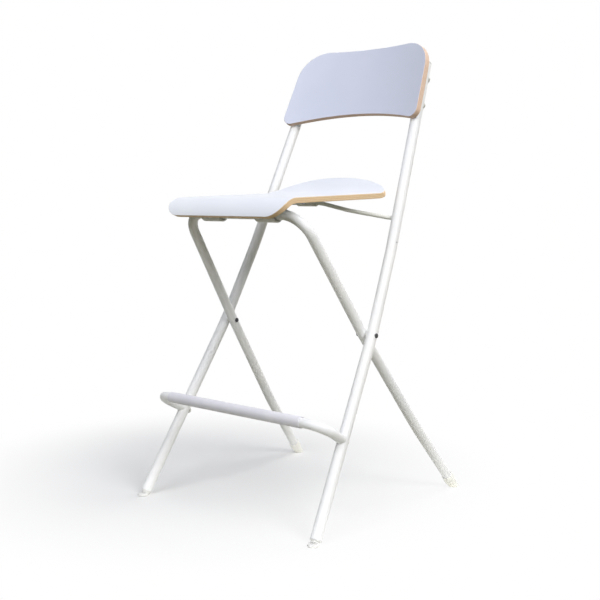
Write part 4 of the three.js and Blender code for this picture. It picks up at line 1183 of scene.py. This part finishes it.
saddle_top = [(offset, float(np.interp(bar_depth + offset, under_line[:, 1], under_line[:, 2])))
              for offset in np.linspace(saddle_half - edge_cut, edge_cut - saddle_half, 15)]
block_outline = [
    *about_bar((saddle_half, block_bottom + 1), (saddle_half, saddle_top[0][1] - edge_cut),
               *saddle_top, (-saddle_half, saddle_top[-1][1] - edge_cut),
               (-saddle_half, block_bottom + 1), (1 - saddle_half, block_bottom)),
    *corner_arc(bar, saddle_bore, 180 - bore_start, bore_start, 24),
    *about_bar((saddle_half - 1, block_bottom))]
cap_outline = [
    *about_bar((saddle_half, cap_top - edge_cut), (saddle_half - edge_cut, cap_top)),
    *corner_arc(bar, saddle_bore, -bore_start, bore_start - 180, 24),
    *about_bar((edge_cut - saddle_half, cap_top), (-saddle_half, cap_top - edge_cut),
               (-saddle_half, flange + flange_cut), (flange_cut - saddle_half, flange)),
    *corner_arc(bar, ring, 180 + ring_start, 360 - ring_start, 24),
    *about_bar((saddle_half - flange_cut, flange), (saddle_half, flange + flange_cut))]
for word, side in sides.items():
    for node, outline in (("seat_saddle", block_outline), ("saddle_cap", cap_outline)):
        piece = carried(f"{node}_{word}_smooth", outline, side * strap_spread, saddle_length)
        settle(cut(piece, strap_holes(side, bar_depth, saddle_row, saddle_hole)), "seat",
               "white_plastic", f"{node}_{word}")
    for end, way in ends.items():
        depth, head = bar_depth + way * saddle_row, flange - fit_gap
        pan_screw(f"saddle_screw_{end}_{word}", beside(side, strap_spread, depth, head), upright,
                  saddle_screw, 0, underside(depth) + screw_grip - head, "seat")
print(made[-8:])

# %% Rod clamps
rod_depth, rod_radius = 169.5, 4.0
clamp_half, clamp_length, clamp_base, clamp_wall, clamp_row = 17, 46, 3.0, 2.2, 11.5
clamp_hole, clamp_screw = 2.3, (2, 3.7, 2.2)
rod_along = lip_length + (rod_depth - seat_crest[1]) / math.cos(seat_slope)
rod_pivot = lay_seat(np.zeros(1), np.array([rod_along]),
                     np.array([seat_thickness + turning_gap + rod_radius]))[0]


def clamp_outline():
    """Strap of even thickness: flat on the seat, then round the rod. Its inner line is the
    channel, and its outer line lies a wall's thickness outside it. A corner is given by its
    offset behind the rod and its depth below the seat at an offset."""
    middle, height = rod_pivot[1:]
    channel = rod_radius + turning_gap
    outer, half, edge = channel + clamp_wall, clamp_half, 0.8

    def corners(*table):
        return [(middle + offset, underside(middle + at) - fit_gap - below)
                for offset, at, below in table]

    base_height = corners((0, 0, clamp_base))[0][1]
    start = math.degrees(math.asin(min(1.0, (height - base_height) / outer)))
    return [*corners((half - edge, half - edge, 0), (channel, channel, 0)),
            *corner_arc((middle, height), channel, 0, -180, 20),
            *corners((-channel, -channel, 0), (edge - half, edge - half, 0), (-half, -half, edge),
                     (-half, -half, clamp_base - edge), (edge - half, -half, clamp_base),
                     (-outer - 0.6, -outer, clamp_base)),
            *corner_arc((middle, height), outer, 180 + start, 360 - start, 20),
            *corners((outer + 0.6, outer, clamp_base), (half - edge, half, clamp_base),
                     (half, half, clamp_base - edge), (half, half, edge))]


for word, side in sides.items():
    clamp = carried(f"rod_clamp_{word}_smooth", clamp_outline(), side * strap_spread, clamp_length,
                    0.7)
    settle(cut(clamp, strap_holes(side, rod_pivot[1], clamp_row, clamp_hole)), "seat",
           "coated_steel_strap", f"rod_clamp_{word}")
    for end, way in ends.items():
        depth = rod_depth + way * clamp_row
        head = (underside(depth) - clamp_base - 2 * fit_gap
                - clamp_screw[1] * math.tan(seat_slope))
        pan_screw(f"rod_clamp_screw_{end}_{word}", beside(side, strap_spread, depth, head),
                  upright, clamp_screw, 0, underside(depth) + screw_grip - head, "seat")
print(made[-6:])

# %% Link rod
bush_flange, tip_gap = 1.2, 0.6
link_spread, link_depth, _ = main_axis(1, link_height)
link_pivot = place(0, link_depth, link_height)
tip = link_spread - main_radius - bush_flange - tip_gap
rod_reach = np.linalg.norm(link_pivot - rod_pivot)
rod_bends, elbow_spread, bend_spread, bend_behind, bar_spread = [8, 70, 13], 163, 118, 75, 108


def rod_arm(side):
    """Corners of one arm, from the tip in the tube to the bar under the seat. A corner's share is
    how far back it lies from the bar to the pivots."""
    table = ((tip, 1), (elbow_spread, 1), (bend_spread, bend_behind / rod_reach), (bar_spread, 0))
    return [rod_pivot + (link_pivot - rod_pivot) * share + across * side * spread
            for spread, share in table]


rod_line = bent_line([*rod_arm(-1), *rod_arm(1)[::-1]], rod_bends + rod_bends[::-1], 4.0)
rod = round_rod("link_rod_smooth", rod_line, rod_radius, place(0, 0.2, 0.98))
settle(rod, "link", "link_rod", "link_rod")
print(made[-1])

# %% [markdown]
# ## Carried-over parts
#
# The spacers, bushes, plugs and threaded inserts are small or hidden, and their CAD solids are
# right, so they stay and only get a finish.

# %% Finishes on the CAD nodes
kept_slots = {"pivot_spacer": "white_plastic", "link_bush": "white_plastic",
              "footrest_plug": "zinc_fastener", "insert": "zinc_fastener"}
kept = []
for name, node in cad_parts.items():
    for key, slot in kept_slots.items():
        if key in name:
            wear(node, finishes[slot])
            kept.append(name)
print("kept nodes", len(kept))

# %% [markdown]
# ## Floor and light
#
# The stool stands on a plain floor of pale grey. Near the stool the camera sees the floor as it is
# lit, with the stool's soft shadow, and farther out it fades to plain white, so there is no
# horizon.
# The fade's middle lies under the stool's shadow, so the floor's grey widens that shadow into a
# pool: partly real shadow, partly painted shadow. Only round the feet it stays chalky, and so the
# legs grow lighter downwards. Four
# soft lamps stand round it, the strongest to the sitter's left, and the sky is cool overhead.

# %% Floor
def seen_directly(tree):
    """One where a ray comes from the camera, a mirror or glass, and nought for all other light."""
    path = tree.nodes.new("ShaderNodeLightPath")
    total = path.outputs["Is Camera Ray"]
    for name in ("Is Glossy Ray", "Is Transmission Ray"):
        larger = tree.nodes.new("ShaderNodeMath")
        larger.operation = "MAXIMUM"
        tree.links.new(total, larger.inputs[0])
        tree.links.new(path.outputs[name], larger.inputs[1])
        total = larger.outputs["Value"]
    return total


def distance_from(finish, centre, source=None):
    """Distance of the shaded point, or of another place, from a centre, in metres."""
    away = finish.add("ShaderNodeVectorMath", operation="DISTANCE")
    finish.links.new(source or finish.coordinates, away.inputs[0])
    away.inputs[1].default_value = centre
    return away.outputs["Value"]


foot_at, shadow_pool_middle = (0.23, 0.243, 0.0), (-0.26, 0.0, 0.0)
plain_white, full_light = (1, 1, 1, 1), 1.0


def floor_material():
    """A lit floor whose colour depends on who looks. The camera sees it pale, faded to plain
    white with the distance from a middle left of the stool, under its shadow, so its grey is a
    painted shadow pool round the real shadow. To other light it is olive, but chalky round
    each foot, so the legs grow lighter towards the floor. The absolute value of the
    coordinates folds the four feet onto one."""
    finish = Finish("pale floor with painted pool", 0.9, specular=0.0)
    direct = seen_directly(finish.material.node_tree)
    cloud = finish.ranged(finish.noise(1.5, detail=2.0), 0.3, 0.7, 0.0, 1.0)
    pale = finish.mixed(cloud, srgb(238, 238, 238), srgb(236, 236, 236))
    folded = finish.add("ShaderNodeVectorMath", operation="ABSOLUTE")
    finish.links.new(finish.coordinates, folded.inputs[0])
    foot_distance = distance_from(finish, foot_at, folded.outputs["Vector"])
    around = finish.ramp(foot_distance, [
        (0.1, srgb(246, 245, 238)), (0.26, srgb(90, 84, 40)), (1.0, srgb(84, 78, 36))])
    finish.colour(finish.mixed(direct, around, pale))
    # Painted shadow: the fade is least at a middle under the stool's shadow, so the floor's grey
    # darkens a pool round that real shadow.
    fade = finish.ranged(distance_from(finish, shadow_pool_middle), 0.1, 0.68, 0.12, 1.0, "SMOOTHSTEP")
    glow = finish.add("ShaderNodeEmission")
    glow.inputs["Color"].default_value = plain_white
    glow.inputs["Strength"].default_value = full_light
    mix = finish.add("ShaderNodeMixShader")
    finish.links.new(finish.math("MULTIPLY", fade, direct), mix.inputs["Fac"])
    finish.links.new(finish.shader.outputs["BSDF"], mix.inputs[1])
    finish.links.new(glow.outputs["Emission"], mix.inputs[2])
    finish.links.new(mix.outputs["Shader"], finish.nodes["Material Output"].inputs["Surface"])
    return finish.material


floor_mesh = bpy.data.meshes.new("floor")
reach, sunk = 30.0, 0.0004
floor_signs = ((-1, -1), (1, -1), (1, 1), (-1, 1))
floor_mesh.from_pydata([(x * reach, y * reach, -sunk) for x, y in floor_signs], [],
                       [(0, 1, 2, 3)])
floor_mesh.materials.append(floor_material())
floor = add_object("floor", floor_mesh)
print("floor", reach * 2, "m")

# %% Sky and lamps
def sky():
    """White to whoever sees it directly. As light, its colour turns from a pale green haze at the
    horizon to a cool white overhead, and its strength rises with the direction's height."""
    world = bpy.data.worlds.new("soft sky")
    world.use_nodes = True
    nodes, links = world.node_tree.nodes, world.node_tree.links
    light = nodes["Background"]
    split = nodes.new("ShaderNodeSeparateXYZ")
    links.new(nodes.new("ShaderNodeTexCoord").outputs["Generated"], split.inputs["Vector"])
    tint = nodes.new("ShaderNodeMix")
    tint.data_type = "RGBA"
    tint.inputs["A"].default_value = srgb(236, 238, 222)
    tint.inputs["B"].default_value = srgb(222, 228, 254)
    links.new(split.outputs["Z"], tint.inputs["Factor"])
    links.new(tint.outputs["Result"], light.inputs["Color"])
    height = nodes.new("ShaderNodeMapRange")
    for key, value in (("From Min", 0.0), ("From Max", 1.0), ("To Min", 0.13), ("To Max", 0.28)):
        height.inputs[key].default_value = value
    links.new(split.outputs["Z"], height.inputs["Value"])
    links.new(height.outputs["Result"], light.inputs["Strength"])
    white = nodes.new("ShaderNodeBackground")
    white.inputs["Color"].default_value = plain_white
    white.inputs["Strength"].default_value = full_light
    mix = nodes.new("ShaderNodeMixShader")
    links.new(seen_directly(world.node_tree), mix.inputs["Fac"])
    links.new(light.outputs["Background"], mix.inputs[1])
    links.new(white.outputs["Background"], mix.inputs[2])
    links.new(mix.outputs["Shader"], nodes["World Output"].inputs["Surface"])
    return world


bpy.context.scene.world = sky()


def stand(holder, side, up, away, at):
    """Sets an object's three directions and its place."""
    matrix = np.eye(4)
    matrix[:3] = np.stack([side, up, away, at], 1)
    holder.matrix_world = Matrix(matrix.tolist())


warm, cool, lit_middle = (1.0, 0.99, 0.97), (0.96, 0.98, 1.0), (0, 0, 0.45)
lamps = [("high lamp", (1.9, -0.1, 4.9), 2.4, 36, warm),
         ("right lamp", (4.2, -1.0, 3.6), 2.4, 165, warm),
         ("front lamp", (0.8, -4.6, 3.6), 3.2, 132, cool),
         ("back lamp", (1.0, 4.5, 3.4), 3.2, 105, warm)]
for name, at, size, power, colour in lamps:
    light = bpy.data.lights.new(name, "AREA")
    light.size, light.energy, light.color = size, power, colour
    away = unit(np.array(at, float) - lit_middle)
    side = unit(np.cross(upright, away))
    stand(add_object(name, light), side, np.cross(away, side), away, at)
print("lamps", len(lamps))

# %% [markdown]
# ## Camera
#
# The camera's place, turn and focal length were found by fitting the tubes' lines to the
# photograph. It stands low, right of the front, and looks slightly down.

# %% Camera
yaw, pitch, roll = math.radians(41.134), math.radians(6.0204), math.radians(-0.0857)
forward = np.array([-math.sin(yaw) * math.cos(pitch), math.cos(yaw) * math.cos(pitch),
                    -math.sin(pitch)])
level = np.array([math.cos(yaw), math.sin(yaw), 0.0])
raised = np.cross(level, forward)
right_hand = math.cos(roll) * level + math.sin(roll) * raised
up_hand = math.cos(roll) * raised - math.sin(roll) * level
camera_data = bpy.data.cameras.new("camera")
camera_at = place(1359.87, -1325.77, 628.89)
focal_pixels, picture_pixels, sensor_width = 996.19, 600, 36
camera_data.lens = focal_pixels / picture_pixels * sensor_width
camera_data.sensor_width = sensor_width
camera = add_object("camera", camera_data)
stand(camera, right_hand, up_hand, -forward, to_metres(camera_at))
bpy.context.scene.camera = camera
bpy.context.scene.view_settings.view_transform = "Standard"
print("lens", round(camera_data.lens, 2))

# %% Count of the dressed stool's new pieces and faces
print("pieces", len(made), "faces", sum(count for _, count in made))
